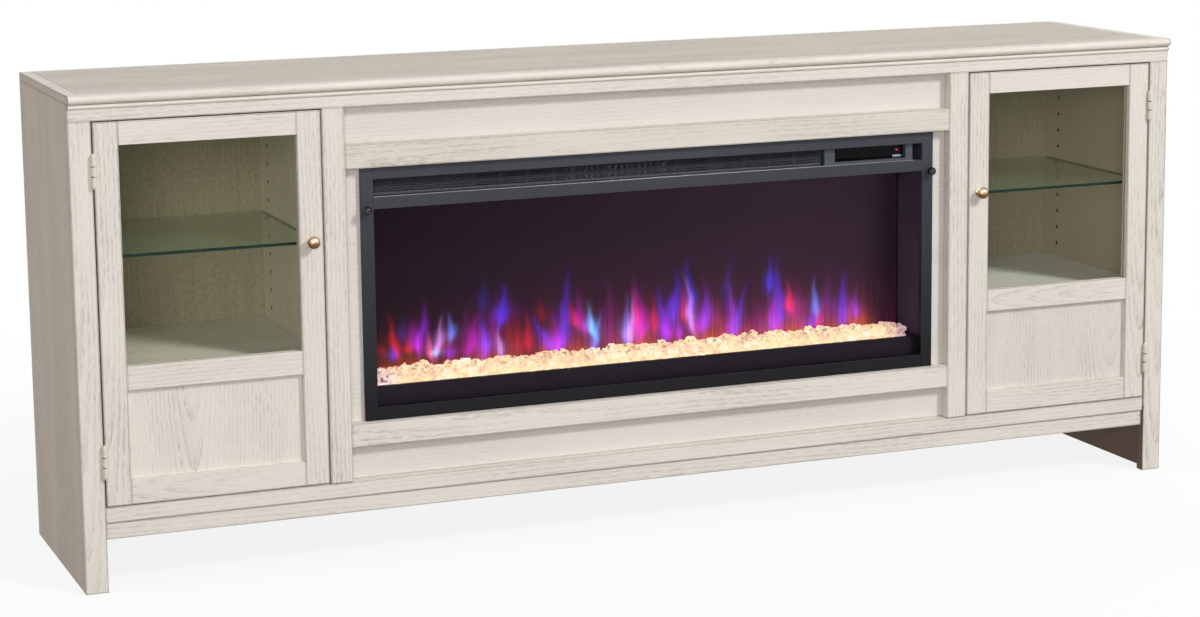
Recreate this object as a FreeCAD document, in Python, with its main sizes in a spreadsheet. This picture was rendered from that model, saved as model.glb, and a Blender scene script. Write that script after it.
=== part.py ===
import FreeCAD, Part
import math
import os

# A fireplace TV stand: a long oak cabinet with a glazed cupboard at each end and an electric
# fire in the middle bay. Millimetres, X to the right, Y to the back, Z up from the floor.
# The origin is on the floor, under the middle of the object.

SIZES = {
    # Overall, and the boards it is cut from
    "cabinet_width": 2032,
    "cabinet_height": 813,
    "carcass_depth": 406,
    "frame_thickness": 19,
    "board_thickness": 18,
    "shelf_thickness": 16,
    "back_thickness": 6,
    "edge_round": 0.8,
    # Top
    "top_thickness": 14,
    "nosing_overhang": 9,
    "nosing_depth": 30,
    "lipping_width": 20,
    "bead_band": 10,
    "bead_radius": 3.5,
    "frieze_height": 18,
    # Front frame
    "post_width": 37,
    "centre_stile_width": 38,
    "leg_opening": 87,
    "apron_height": 28,
    "apron_recess": 6.5,
    "bottom_rail_height": 26,
    "bottom_rail_recess": 3,
    # Doors
    "door_side_gap": 3,
    "door_top_gap": 2.5,
    "door_bottom_gap": 2,
    "door_stile_width": 40,
    "door_top_rail": 38,
    "door_middle_rail": 39,
    "door_bottom_rail": 41,
    "door_panel_height": 148,
    "door_panel_thickness": 6,
    "door_glass_thickness": 4,
    "infill_recess": 9,
    "groove_depth": 8,
    "groove_play": 0.15,
    "groove_end_play": 0.5,
    # Door hinges, knobs and catches
    "hinge_height": 49,
    "hinge_leaf": 1.4,
    "hinge_leaf_depth": 16,
    "hinge_barrel_radius": 4.35,
    "hinge_pin_radius": 1.6,
    "hinge_pin_play": 0.05,
    "hinge_tip": 4,
    "hinge_tip_radius": 4,
    "hinge_tip_end_radius": 2.2,
    "knuckle_gap": 0.3,
    "hinge_top_inset": 49,
    "hinge_bottom_inset": 46,
    "knob_above_door_foot": 410,
    "knob_reach": 24,
    "knob_head_radius": 10.5,
    "knob_head_thickness": 16,
    "knob_stem_radius": 4,
    "knob_base_radius": 7,
    "knob_base_thickness": 2,
    "catch_width": 36,
    "catch_height": 12,
    "catch_depth": 20,
    "catch_gap": 0.3,
    "strike_thickness": 1.2,
    # Cupboard shelves
    "shelf_below_rail": 16,
    "shelf_setback": 3,
    "pin_hole_radius": 2.5,
    "pin_hole_depth": 8,
    "pin_hole_pitch": 32,
    "top_hole_margin": 100,
    "first_hole_above_shelf": 25,
    "front_column_setback": 60,
    "rear_column_setback": 50,
    "pin_play": 0.02,
    "pin_end_play": 0.5,
    "pin_reach": 8,
    "glass_shelf_thickness": 6,
    "glass_shelf_side_play": 1,
    "glass_shelf_front_setback": 35,
    "glass_shelf_rear_play": 5,
    "cable_hole_radius": 30,
    "cable_hole_above_floor": 60,
    # Surround of the fire
    "surround_thickness": 12,
    "surround_lower_strip": 58,
    "surround_upper_strip": 63,
    "surround_rail_height": 40,
    "surround_play": 1,
    "insert_side_strip": 28,
    "insert_play": 0.5,
    # Trim frame of the fire
    "insert_width": 1068,
    "trim_depth": 9,
    "trim_side": 21.5,
    "trim_top": 20.5,
    "trim_bar": 20,
    "trim_bottom": 22,
    "vent_height": 30,
    "trim_lap": 8,
    "stud_inset": 7.5,
    "stud_radius": 7.5,
    "stud_stem_radius": 3,
    "stud_stem_length": 3,
    # Firebox
    "firebox_depth": 200,
    "sheet_thickness": 2,
    "fire_glass_thickness": 4,
    "fire_glass_play": 0.5,
    "vent_zone_depth": 11,
    # Vent grille, control panel and button
    "grille_thickness": 1,
    "grille_setback": 8,
    "grille_play": 0.5,
    "mesh_slot_width": 5,
    "mesh_slot_height": 24,
    "mesh_slot_pitch": 9,
    "mesh_side_margin": 4,
    "mesh_end_margin": 34,
    "outlet_slot_width": 36,
    "outlet_slot_height": 8,
    "outlet_pitch_across": 42,
    "outlet_pitch_up": 13,
    "outlet_columns": 4,
    "outlet_rows": 2,
    "outlet_margin": 4,
    "control_right_margin": 15,
    "control_width": 175,
    "control_depth": 30,
    "control_window_depth": 12,
    "control_left_bar": 20,
    "control_right_bar": 14,
    "control_sill": 4,
    "button_width": 18,
    "button_height": 10,
    "button_right_margin": 4,
    "button_sill": 10,
    "button_play": 0.3,
    "button_proud": 3,
    "button_depth": 10,
    "button_pocket": 10,
    # Heater
    "blower_left": 160,
    "blower_width": 200,
    "blower_setback": 95,
    "blower_radial_play": 5,
    "blower_end_play": 3,
    "blower_disc": 2,
    "blower_blade_count": 24,
    "blower_blade_thickness": 1.2,
    "blower_blade_depth": 6,
    "shaft_radius": 3,
    "shaft_play": 0.05,
    "shaft_stub": 4,
    "blower_motor_radius": 18,
    "blower_motor_length": 50,
    "motor_bore": 20,
    "shaft_end_play": 2,
    "heater_setback": 25,
    "heater_depth": 25,
    "heater_side_gap": 10,
    "heater_height": 40,
    "heater_rim": 6,
    "heater_slot_width": 6,
    "heater_slot_pitch": 11,
    # Flame picture
    "flame_screen_setback": 101,
    "flame_screen_thickness": 3,
    "flame_screen_side_gap": 4,
    "spindle_setback": 131,
    "spindle_height": 36,
    "flame_motor_radius": 20,
    "flame_motor_length": 60,
    "fin_count": 16,
    "fin_length": 40,
    "fin_width": 44,
    "fin_thickness": 1.2,
    "fin_margin": 24,
    # Ember bed
    "tray_setback": 11,
    "tray_depth": 82,
    "tray_height": 43.5,
    "tray_side_gap": 8,
    "tray_wall": 6,
    "tray_recess": 10,
    "tray_floor": 6,
    "tray_skirt": 4,
    "crystal_pitch": 28,
    "crystal_rows": 2,
    "crystal_height": 38,
    "crystal_gap": 2,
    "led_board_thickness": 1.6,
    "led_board_depth": 20,
    "led_board_side_gap": 40,
    # Cord outlet
    "gland_hole_radius": 8,
    "gland_play": 0.05,
    "gland_flange_radius": 12,
    "gland_flange": 3,
    "gland_barrel": 6,
    "gland_bore_radius": 4,
    "gland_side_inset": 66,
    "gland_height": 50,
    "cord_hole_radius": 20,
    # Ventilation slots in the middle back panel
    "back_slot_width": 8,
    "back_slot_height": 90,
    "back_slot_pitch": 20,
    "back_slot_count": 24,
    "back_slot_top_inset": 70,
}

doc = FreeCAD.newDocument("fireplace_tv_stand")
sheet = doc.addObject("Spreadsheet::Sheet", "Sizes")
for row, (alias, value) in enumerate(SIZES.items(), start=1):
    sheet.set(f"A{row}", alias)
    sheet.set(f"B{row}", str(value))
    sheet.setAlias(f"B{row}", alias)
doc.recompute()

pieces = []


class Formula:
    """A length worked out from the sheet's cells, kept as an expression."""

    def __init__(self, text):
        self.text = str(text)

    def __str__(self):
        return self.text

    def __neg__(self):
        return Formula(f"(0 - {self})")

    def __add__(self, other):
        return Formula(f"({self} + {other})")

    def __sub__(self, other):
        return Formula(f"({self} - {other})")

    def __mul__(self, other):
        return Formula(f"({self} * {other})")

    def __truediv__(self, other):
        return Formula(f"({self} / {other})")


class SizeCells:
    """Gives each named cell of the sheet as a formula."""

    def __getattr__(self, alias):
        return Formula(f"Sizes.{alias}")


size = SizeCells()
zero = Formula("0")


def whole(formula):
    """Rounded down, for the number of copies that fit."""
    return Formula(f"floor({formula})")


def number(formula):
    return float(sheet.evalExpression(str(formula)))


def keep(label, piece):
    """Marks a finished piece and gives it its name."""
    piece.Label = label
    pieces.append(piece)
    return piece


def place(feature, x, y, z):
    for axis, formula in zip("xyz", (x, y, z)):
        feature.setExpression(f"Placement.Base.{axis}", str(formula))


def size_and_place(box, x, y, z):
    """Sets a box between two planes in each direction."""
    for side, (low, high) in zip(("Length", "Width", "Height"), (x, y, z)):
        box.setExpression(side, str(high - low))
    place(box, x[0], y[0], z[0])


def slab(label, x, y, z):
    box = doc.addObject("Part::Box", label)
    size_and_place(box, x, y, z)
    return box


TURNS = {
    "x": FreeCAD.Rotation(FreeCAD.Vector(0, 1, 0), 90),
    "y": FreeCAD.Rotation(FreeCAD.Vector(1, 0, 0), -90),
    "z": FreeCAD.Rotation(),
}


def shape_rod(rod, along, centre, radius, span):
    """Lays a cylinder along an axis; centre gives the two other coordinates, in X, Y, Z order."""
    rod.Placement = FreeCAD.Placement(FreeCAD.Vector(), TURNS[along])
    rod.setExpression("Radius", str(radius))
    rod.setExpression("Height", str(span[1] - span[0]))
    start = list(centre)
    start.insert("xyz".index(along), span[0])
    place(rod, *start)
    return rod


def rod(label, along, centre, radius, span):
    return shape_rod(doc.addObject("Part::Cylinder", label), along, centre, radius, span)


def fuse(label, *solids):
    joined = doc.addObject("Part::MultiFuse", label)
    joined.Shapes = list(solids)
    joined.Refine = True
    return joined


def cut(label, base, *tools):
    result = doc.addObject("Part::Cut", label)
    result.Base = base
    result.Tool = tools[0] if len(tools) == 1 else fuse(f"{label}_cutters", *tools)
    return result


def group(label, *solids):
    """Separate solids that share one node."""
    bundle = doc.addObject("Part::Compound", label)
    bundle.Links = list(solids)
    return bundle


def body_box(body, kind, label, x, y, z):
    box = body.newObject(f"PartDesign::{kind}Box", label)
    size_and_place(box, x, y, z)
    return box


def body_hole(body, label, along, centre, radius, span):
    hole = body.newObject("PartDesign::SubtractiveCylinder", label)
    return shape_rod(hole, along, centre, radius, span)


def body_pattern(body, label, originals, along, pitch, count, second=None):
    """Repeats features in a row, or in rows and columns when a second direction is given."""
    axes = {feature.Role[0].lower(): feature for feature in body.Origin.OriginFeatures
            if feature.Role.endswith("_Axis")}
    pattern = body.newObject("PartDesign::LinearPattern", label)
    pattern.Originals = originals
    pattern.Direction = (axes[along], [""])
    pattern.setExpression("Length", str(pitch * (count - 1)))
    pattern.setExpression("Occurrences", str(count))
    if second:
        along_too, pitch_too, count_too = second
        pattern.Direction2 = (axes[along_too], [""])
        pattern.setExpression("Length2", str(pitch_too * (count_too - 1)))
        pattern.setExpression("Occurrences2", str(count_too))
    body.Tip = pattern
    return pattern


def board(label, x, y, z):
    """A board with eased edges; grooves and holes are added to its body."""
    body = doc.addObject("PartDesign::Body", label)
    blank = body_box(body, "Additive", f"{label}_blank", x, y, z)
    eased = body.newObject("PartDesign::Fillet", f"{label}_edges")
    eased.Base = (blank, [""])
    eased.UseAllEdges = True
    eased.setExpression("Radius", str(size.edge_round))
    return body


def beside(side, near, far):
    """The X span of a piece on one side, from its distances to the middle plane."""
    return (-far, -near) if side == "left" else (near, far)


def across(half):
    return (-half, half)


def at_x(side, distance):
    return -distance if side == "left" else distance


# Planes that the pieces share. Depths count from the front face of the posts.
front = (size.knob_reach - size.carcass_depth) / 2
half_width = size.cabinet_width / 2
side_inner = half_width - size.board_thickness
post_inner = half_width - size.post_width
centre_half = size.insert_width / 2 + size.insert_side_strip
stile_outer = centre_half + size.centre_stile_width
partition_inner = stile_outer - size.board_thickness
door_outer = post_inner - size.door_side_gap
door_inner = stile_outer + size.door_side_gap
lock_stile_inner = door_inner + size.door_stile_width
hinge_stile_inner = door_outer - size.door_stile_width

frame_back = front + size.frame_thickness
carcass_back = front + size.carcass_depth
back_front = carcass_back - size.back_thickness
floor_front = front + size.bottom_rail_recess + size.frame_thickness
shelf_front = frame_back + size.shelf_setback
surround_back = frame_back + size.surround_thickness
frame_depth = (front, frame_back)

apron_top = size.leg_opening + size.apron_height
floor_top = apron_top + size.bottom_rail_height
floor_bottom = floor_top - size.shelf_thickness
top_bottom = size.cabinet_height - size.top_thickness
frieze_bottom = top_bottom - size.bead_band - size.frieze_height
door_foot = floor_top + size.door_bottom_gap
door_head = frieze_bottom - size.door_top_gap
panel_bottom = door_foot + size.door_bottom_rail
panel_top = panel_bottom + size.door_panel_height
glass_bottom = panel_top + size.door_middle_rail
glass_top = door_head - size.door_top_rail
fixed_shelf_top = glass_bottom - size.shelf_below_rail
fixed_shelf_bottom = fixed_shelf_top - size.shelf_thickness

insert_half = size.insert_width / 2
lower_rail_bottom = floor_top + size.surround_lower_strip
lower_rail_top = lower_rail_bottom + size.surround_rail_height
upper_rail_top = frieze_bottom - size.surround_upper_strip
upper_rail_bottom = upper_rail_top - size.surround_rail_height
insert_bottom = lower_rail_top + size.insert_play
insert_top = upper_rail_bottom - size.insert_play
vent_top = insert_top - size.trim_top
vent_bottom = vent_top - size.vent_height
fire_glass_top = vent_bottom - size.trim_bar
fire_glass_bottom = insert_bottom + size.trim_bottom
opening_half = insert_half - size.trim_side

box_half = insert_half - size.trim_lap
box_bottom = insert_bottom + size.trim_lap
box_top = insert_top - size.trim_lap
box_back = frame_back + size.firebox_depth
wall_back = box_back - size.sheet_thickness
chamber_half = box_half - size.sheet_thickness
hearth = box_bottom + size.sheet_thickness
heater_floor = vent_bottom - size.trim_bar / 2
chamber_top = heater_floor - size.sheet_thickness
heater_top = box_top - size.sheet_thickness
heater_middle = (heater_floor + heater_top) / 2


def make_top():
    """The panel, its rounded front nosing, its end lippings and the bead under the nosing."""
    nosing_front = front - size.nosing_overhang
    nosing_back = nosing_front + size.nosing_depth
    nose_radius = size.top_thickness / 2
    panel_half = half_width - size.lipping_width
    top_depth = (nosing_back, carcass_back)
    top_height = (top_bottom, size.cabinet_height)
    keep("top_panel", board("top_panel", across(panel_half), top_depth, top_height))

    flat = slab("nosing_flat", across(half_width), (nosing_front + nose_radius, nosing_back), top_height)
    nose_centre = (nosing_front + nose_radius, top_bottom + nose_radius)
    round_edge = rod("nosing_round", "x", nose_centre, nose_radius, across(half_width))
    nosing = fuse("front_nosing", flat, round_edge)
    lippings = [board(f"{side}_end_lipping", beside(side, panel_half, half_width), top_depth, top_height)
                for side in ("left", "right")]
    keep("top_edge_lippings", group("top_edge_lippings", nosing, *lippings))

    bead = doc.addObject("Part::Cylinder", "under_top_bead")
    bead.Angle = 180
    bead.setExpression("Radius", str(size.bead_radius))
    bead.setExpression("Height", str(size.cabinet_width))
    bead.Placement.Rotation = FreeCAD.Rotation(FreeCAD.Vector(1, 0, 1), 180)
    place(bead, -half_width, front, top_bottom - size.bead_band / 2)
    keep("under_top_bead", bead)


def make_front_frame():
    """Posts, stiles and rails of the front, all but the two lowest rails flush with each other."""
    keep("frieze_rail", board("frieze_rail", across(half_width), frame_depth, (frieze_bottom, top_bottom)))
    for side in ("left", "right"):
        post = board(f"{side}_front_post", beside(side, post_inner, half_width), frame_depth,
                     (zero, frieze_bottom))
        keep(f"{side}_front_post", post)
        stile = board(f"{side}_centre_stile", beside(side, centre_half, stile_outer), frame_depth,
                      (floor_top, frieze_bottom))
        keep(f"{side}_centre_stile", stile)
    rail_front = front + size.bottom_rail_recess
    keep("bottom_rail", board("bottom_rail", across(post_inner), (rail_front, floor_front),
                              (apron_top, floor_top)))
    apron_front = front + size.apron_recess
    keep("apron_rail", board("apron_rail", across(post_inner),
                             (apron_front, apron_front + size.frame_thickness),
                             (size.leg_opening, apron_top)))


front_column = front + size.front_column_setback
rear_column = back_front - size.rear_column_setback
first_hole = fixed_shelf_top + size.first_hole_above_shelf
hole_rows = whole((door_head - size.top_hole_margin - first_hole) / size.pin_hole_pitch) + 1
shelf_hole = first_hole + size.pin_hole_pitch * whole(hole_rows / 2)
pin_radius = size.pin_hole_radius - size.pin_play


def drill_shelf_holes(panel, span):
    """Two columns of blind shelf-pin holes, over the depth that span gives."""
    columns = [body_hole(panel, f"{panel.Label}_{name}_hole", "x", (depth, first_hole),
                         size.pin_hole_radius, span)
               for name, depth in (("front", front_column), ("rear", rear_column))]
    body_pattern(panel, f"{panel.Label}_holes", columns, "z", size.pin_hole_pitch, hole_rows)


def make_carcass():
    """Sides, partitions, floor, fixed shelves and back panels."""
    for side in ("left", "right"):
        outer = board(f"{side}_side_panel", beside(side, side_inner, half_width),
                      (frame_back, carcass_back), (zero, top_bottom))
        drill_shelf_holes(outer, beside(side, side_inner, side_inner + size.pin_hole_depth))
        keep(f"{side}_side_panel", outer)
        partition = board(f"{side}_partition", beside(side, partition_inner, stile_outer),
                          (frame_back, back_front), (floor_top, top_bottom))
        drill_shelf_holes(partition, beside(side, stile_outer - size.pin_hole_depth, stile_outer))
        keep(f"{side}_partition", partition)
        shelf = board(f"{side}_fixed_shelf", beside(side, stile_outer, side_inner),
                      (shelf_front, back_front), (fixed_shelf_bottom, fixed_shelf_top))
        keep(f"{side}_fixed_shelf", shelf)
    keep("bottom_panel", board("bottom_panel", across(side_inner), (floor_front, back_front),
                               (floor_bottom, floor_top)))


gland_x = size.gland_side_inset - box_half
gland_z = box_bottom + size.gland_height


def make_back_panels():
    """Thin panels on the back, with holes for cables and slots that let the fire breathe."""
    back_depth = (back_front, carcass_back)
    back_height = (floor_bottom, top_bottom)
    joint = (partition_inner + stile_outer) / 2
    cable_x = (stile_outer + side_inner) / 2
    cable_z = floor_top + size.cable_hole_above_floor
    for side in ("left", "right"):
        panel = board(f"{side}_back_panel", beside(side, joint, side_inner), back_depth, back_height)
        body_hole(panel, f"{side}_cable_hole", "y", (at_x(side, cable_x), cable_z),
                  size.cable_hole_radius, back_depth)
        keep(f"{side}_back_panel", panel)
    centre = board("centre_back_panel", across(joint), back_depth, back_height)
    body_hole(centre, "cord_hole", "y", (gland_x, gland_z), size.cord_hole_radius, back_depth)
    slot_left = -(size.back_slot_pitch * (size.back_slot_count - 1) + size.back_slot_width) / 2
    slot_top = top_bottom - size.back_slot_top_inset
    slot = body_box(centre, "Subtractive", "back_slot", (slot_left, slot_left + size.back_slot_width),
                    back_depth, (slot_top - size.back_slot_height, slot_top))
    body_pattern(centre, "back_slots", [slot], "x", size.back_slot_pitch, size.back_slot_count)
    keep("centre_back_panel", centre)


def make_glass_shelves():
    """A glass shelf in each cupboard, on four pins pushed into the rows of holes."""
    pins = []
    shelf_bottom = shelf_hole + pin_radius
    sunk = size.pin_hole_depth - size.pin_end_play
    walls = {
        "outer": (side_inner - size.pin_reach, side_inner + sunk),
        "inner": (stile_outer - sunk, stile_outer + size.pin_reach),
    }
    for side in ("left", "right"):
        for wall, (near, far) in walls.items():
            for name, depth in (("front", front_column), ("rear", rear_column)):
                pins.append(rod(f"{side}_{wall}_{name}_pin", "x", (depth, shelf_hole), pin_radius,
                                beside(side, near, far)))
        shelf = board(f"{side}_glass_shelf",
                      beside(side, stile_outer + size.glass_shelf_side_play,
                             side_inner - size.glass_shelf_side_play),
                      (front + size.glass_shelf_front_setback, back_front - size.glass_shelf_rear_play),
                      (shelf_bottom, shelf_bottom + size.glass_shelf_thickness))
        keep(f"{side}_glass_shelf", shelf)
    keep("shelf_pins", group("shelf_pins", *pins))


# Grooves of the door frames and the sheets that they hold
infill_front = front + size.infill_recess
glass_depth = (infill_front, infill_front + size.door_glass_thickness)
panel_depth = (infill_front, infill_front + size.door_panel_thickness)
groove_reach = size.groove_depth - size.groove_end_play


def groove(span):
    """A groove's depth span, with play on both sides of the sheet in it."""
    return (span[0] - size.groove_play, span[1] + size.groove_play)


def make_door_frame(side):
    """Stiles and rails of one door, grooved for the glass above and the oak panel below."""
    door_height = (door_foot, door_head)
    stiles = {
        "hinge": ((hinge_stile_inner, door_outer),
                  (hinge_stile_inner, hinge_stile_inner + size.groove_depth)),
        "lock": ((door_inner, lock_stile_inner),
                 (lock_stile_inner - size.groove_depth, lock_stile_inner)),
    }
    for name, (width, slot) in stiles.items():
        label = f"{side}_door_{name}_stile"
        stile = board(label, beside(side, *width), frame_depth, door_height)
        body_box(stile, "Subtractive", f"{label}_glass_groove", beside(side, *slot), groove(glass_depth),
                 (glass_bottom - size.groove_depth, glass_top + size.groove_depth))
        body_box(stile, "Subtractive", f"{label}_panel_groove", beside(side, *slot), groove(panel_depth),
                 (panel_bottom - size.groove_depth, panel_top + size.groove_depth))
        keep(label, stile)

    between = beside(side, lock_stile_inner, hinge_stile_inner)
    above_glass = (glass_top, glass_top + size.groove_depth)
    below_glass = (glass_bottom - size.groove_depth, glass_bottom)
    above_panel = (panel_top, panel_top + size.groove_depth)
    below_panel = (panel_bottom - size.groove_depth, panel_bottom)
    rails = {
        "top": ((glass_top, door_head), ((glass_depth, above_glass),)),
        "middle": ((panel_top, glass_bottom), ((glass_depth, below_glass), (panel_depth, above_panel))),
        "bottom": ((door_foot, panel_bottom), ((panel_depth, below_panel),)),
    }
    made = []
    for name, (height, grooves) in rails.items():
        rail = board(f"{side}_door_{name}_rail", between, frame_depth, height)
        for index, (sheet_depth, slot_height) in enumerate(grooves):
            body_box(rail, "Subtractive", f"{rail.Label}_groove_{index}", between, groove(sheet_depth),
                     slot_height)
        made.append(rail)
    keep(f"{side}_door_rails", group(f"{side}_door_rails", *made))

    infill_width = beside(side, lock_stile_inner - groove_reach, hinge_stile_inner + groove_reach)
    keep(f"{side}_door_glass", slab(f"{side}_door_glass", infill_width, glass_depth,
                                    (glass_bottom - groove_reach, glass_top + groove_reach)))
    keep(f"{side}_door_panel", slab(f"{side}_door_panel", infill_width, panel_depth,
                                    (panel_bottom - groove_reach, panel_top + groove_reach)))


lock_stile_middle = (door_inner + lock_stile_inner) / 2


def make_door_knob(side):
    """A turned brass knob: rosette, stem and flattened ball."""
    x = at_x(side, lock_stile_middle)
    z = door_foot + size.knob_above_door_foot
    tip = front - size.knob_reach
    head_middle = tip + size.knob_head_thickness / 2
    label = f"{side}_door_knob"
    rosette = rod(f"{label}_rosette", "y", (x, z), size.knob_base_radius,
                  (front - size.knob_base_thickness, front))
    stem = rod(f"{label}_stem", "y", (x, z), size.knob_stem_radius, (head_middle, front))
    head = doc.addObject("Part::Ellipsoid", f"{label}_head")
    for name, radius in (("Radius1", size.knob_head_radius), ("Radius2", size.knob_head_radius),
                         ("Radius3", size.knob_head_thickness / 2)):
        head.setExpression(name, str(radius))
    place(head, x, head_middle, z)
    keep(label, fuse(label, rosette, stem, head))


# Hinges: the barrel stands in front of the gap between the post and the door
hinge_axis = (post_inner + door_outer) / 2
barrel_y = front - size.hinge_barrel_radius - size.hinge_pin_play
leaf_start = barrel_y + size.hinge_barrel_radius + size.knuckle_gap
knuckle = size.hinge_height / 3
hinge_feet = {
    "upper": door_head - size.hinge_top_inset - size.hinge_tip - size.hinge_height,
    "lower": door_foot + size.hinge_bottom_inset + size.hinge_tip,
}


def make_hinge_leaf(side, label, width, foot, knuckles):
    """A flat leaf in the gap, joined to its knuckles by tabs and bored for the pin."""
    span = beside(side, *width)
    axis = (at_x(side, hinge_axis), barrel_y)
    top = foot + size.hinge_height
    solids = [slab(f"{label}_plate", span, (leaf_start, front + size.hinge_leaf_depth), (foot, top))]
    for index, height in enumerate(knuckles):
        solids.append(rod(f"{label}_knuckle_{index}", "z", axis, size.hinge_barrel_radius, height))
        solids.append(slab(f"{label}_tab_{index}", span, (barrel_y, leaf_start), height))
    bore = rod(f"{label}_bore", "z", axis, size.hinge_pin_radius, (foot, top))
    return cut(label, fuse(f"{label}_whole", *solids), bore)


def make_hinge_pin(side, label, foot, top):
    """The pin of a hinge, with a tapered tip beyond each end of the barrel."""
    axis = (at_x(side, hinge_axis), barrel_y)
    shank = rod(f"{label}_shank", "z", axis, size.hinge_pin_radius - size.hinge_pin_play, (foot, top))
    tips = []
    wide = size.hinge_tip_radius
    narrow = size.hinge_tip_end_radius
    for end, start, radii in (("foot", foot - size.hinge_tip, (narrow, wide)), ("head", top, (wide, narrow))):
        tip = doc.addObject("Part::Cone", f"{label}_{end}")
        tip.setExpression("Radius1", str(radii[0]))
        tip.setExpression("Radius2", str(radii[1]))
        tip.setExpression("Height", str(size.hinge_tip))
        place(tip, *axis, start)
        tips.append(tip)
    return fuse(label, shank, *tips)


def make_hinges_and_catches():
    """Two butt hinges and one magnetic catch for each door."""
    post_leaves = []
    pins = []
    catches = []
    strike_back = frame_back + size.strike_thickness
    catch_front = strike_back + size.catch_gap
    catch_height = (fixed_shelf_bottom - size.catch_height, fixed_shelf_bottom)
    catch_width = (lock_stile_middle - size.catch_width / 2, lock_stile_middle + size.catch_width / 2)
    for side in ("left", "right"):
        fittings = []
        for name, foot in hinge_feet.items():
            top = foot + size.hinge_height
            label = f"{side}_{name}_hinge"
            outer_knuckles = ((foot, foot + knuckle), (top - knuckle, top))
            middle_knuckle = ((foot + knuckle + size.knuckle_gap, top - knuckle - size.knuckle_gap),)
            post_leaves.append(make_hinge_leaf(side, f"{label}_post_leaf",
                                               (post_inner - size.hinge_leaf, post_inner), foot,
                                               outer_knuckles))
            fittings.append(make_hinge_leaf(side, f"{label}_door_leaf",
                                            (door_outer, door_outer + size.hinge_leaf), foot,
                                            middle_knuckle))
            pins.append(make_hinge_pin(side, f"{label}_pin", foot, top))
        fittings.append(slab(f"{side}_strike_plate", beside(side, *catch_width),
                             (frame_back, strike_back), catch_height))
        catches.append(slab(f"{side}_catch", beside(side, *catch_width),
                            (catch_front, catch_front + size.catch_depth), catch_height))
        keep(f"{side}_door_fittings", group(f"{side}_door_fittings", *fittings))
    keep("hinge_post_leaves", group("hinge_post_leaves", *post_leaves))
    keep("hinge_pins", group("hinge_pins", *pins))
    keep("door_catches", group("door_catches", *catches))


def make_surround():
    """The recessed panel round the fire, the two rails on it and the deck that carries the fire."""
    panel = board("surround_panel", across(partition_inner), (frame_back, surround_back),
                  (floor_top, top_bottom))
    body_box(panel, "Subtractive", "fire_opening", across(box_half + size.surround_play),
             (frame_back, surround_back), (box_bottom - size.surround_play, box_top + size.surround_play))
    keep("surround_panel", panel)
    for name, height in (("lower", (lower_rail_bottom, lower_rail_top)),
                         ("upper", (upper_rail_bottom, upper_rail_top))):
        label = f"{name}_surround_rail"
        keep(label, board(label, across(centre_half), frame_depth, height))
    keep("insert_deck", board("insert_deck", across(partition_inner), (surround_back, back_front),
                              (box_bottom - size.shelf_thickness, box_bottom)))


def make_trim_frame():
    """The black frame of the fire, welded from five bars, and its two ball studs."""
    trim_depth = (frame_back - size.trim_depth, frame_back)
    bars = [board(f"{side}_trim_bar", beside(side, opening_half, insert_half), trim_depth,
                  (insert_bottom, insert_top)) for side in ("left", "right")]
    for name, height in (("top", (vent_top, insert_top)), ("cross", (fire_glass_top, vent_bottom)),
                         ("bottom", (insert_bottom, fire_glass_bottom))):
        bars.append(board(f"{name}_trim_bar", across(opening_half), trim_depth, height))
    keep("fire_trim_frame", group("fire_trim_frame", *bars))

    trim_front = frame_back - size.trim_depth
    ball_y = trim_front - size.stud_stem_length - size.stud_radius
    studs = []
    for side in ("left", "right"):
        x = at_x(side, insert_half - size.stud_inset)
        ball = doc.addObject("Part::Sphere", f"{side}_stud_ball")
        ball.setExpression("Radius", str(size.stud_radius))
        place(ball, x, ball_y, fire_glass_top)
        stem = rod(f"{side}_stud_stem", "y", (x, fire_glass_top), size.stud_stem_radius, (ball_y, trim_front))
        studs.append(fuse(f"{side}_stud", ball, stem))
    keep("trim_knobs", group("trim_knobs", *studs))


# Bearings of the two spinning pieces, which the walls of the firebox hold
blower_near = -size.blower_left
blower_far = blower_near + size.blower_width
blower_axis = (frame_back + size.blower_setback, heater_middle)
spindle_axis = (frame_back + size.spindle_setback, hearth + size.spindle_height)
bearing_radius = size.shaft_radius + size.shaft_play
vent_zone_back = frame_back + size.vent_zone_depth


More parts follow.
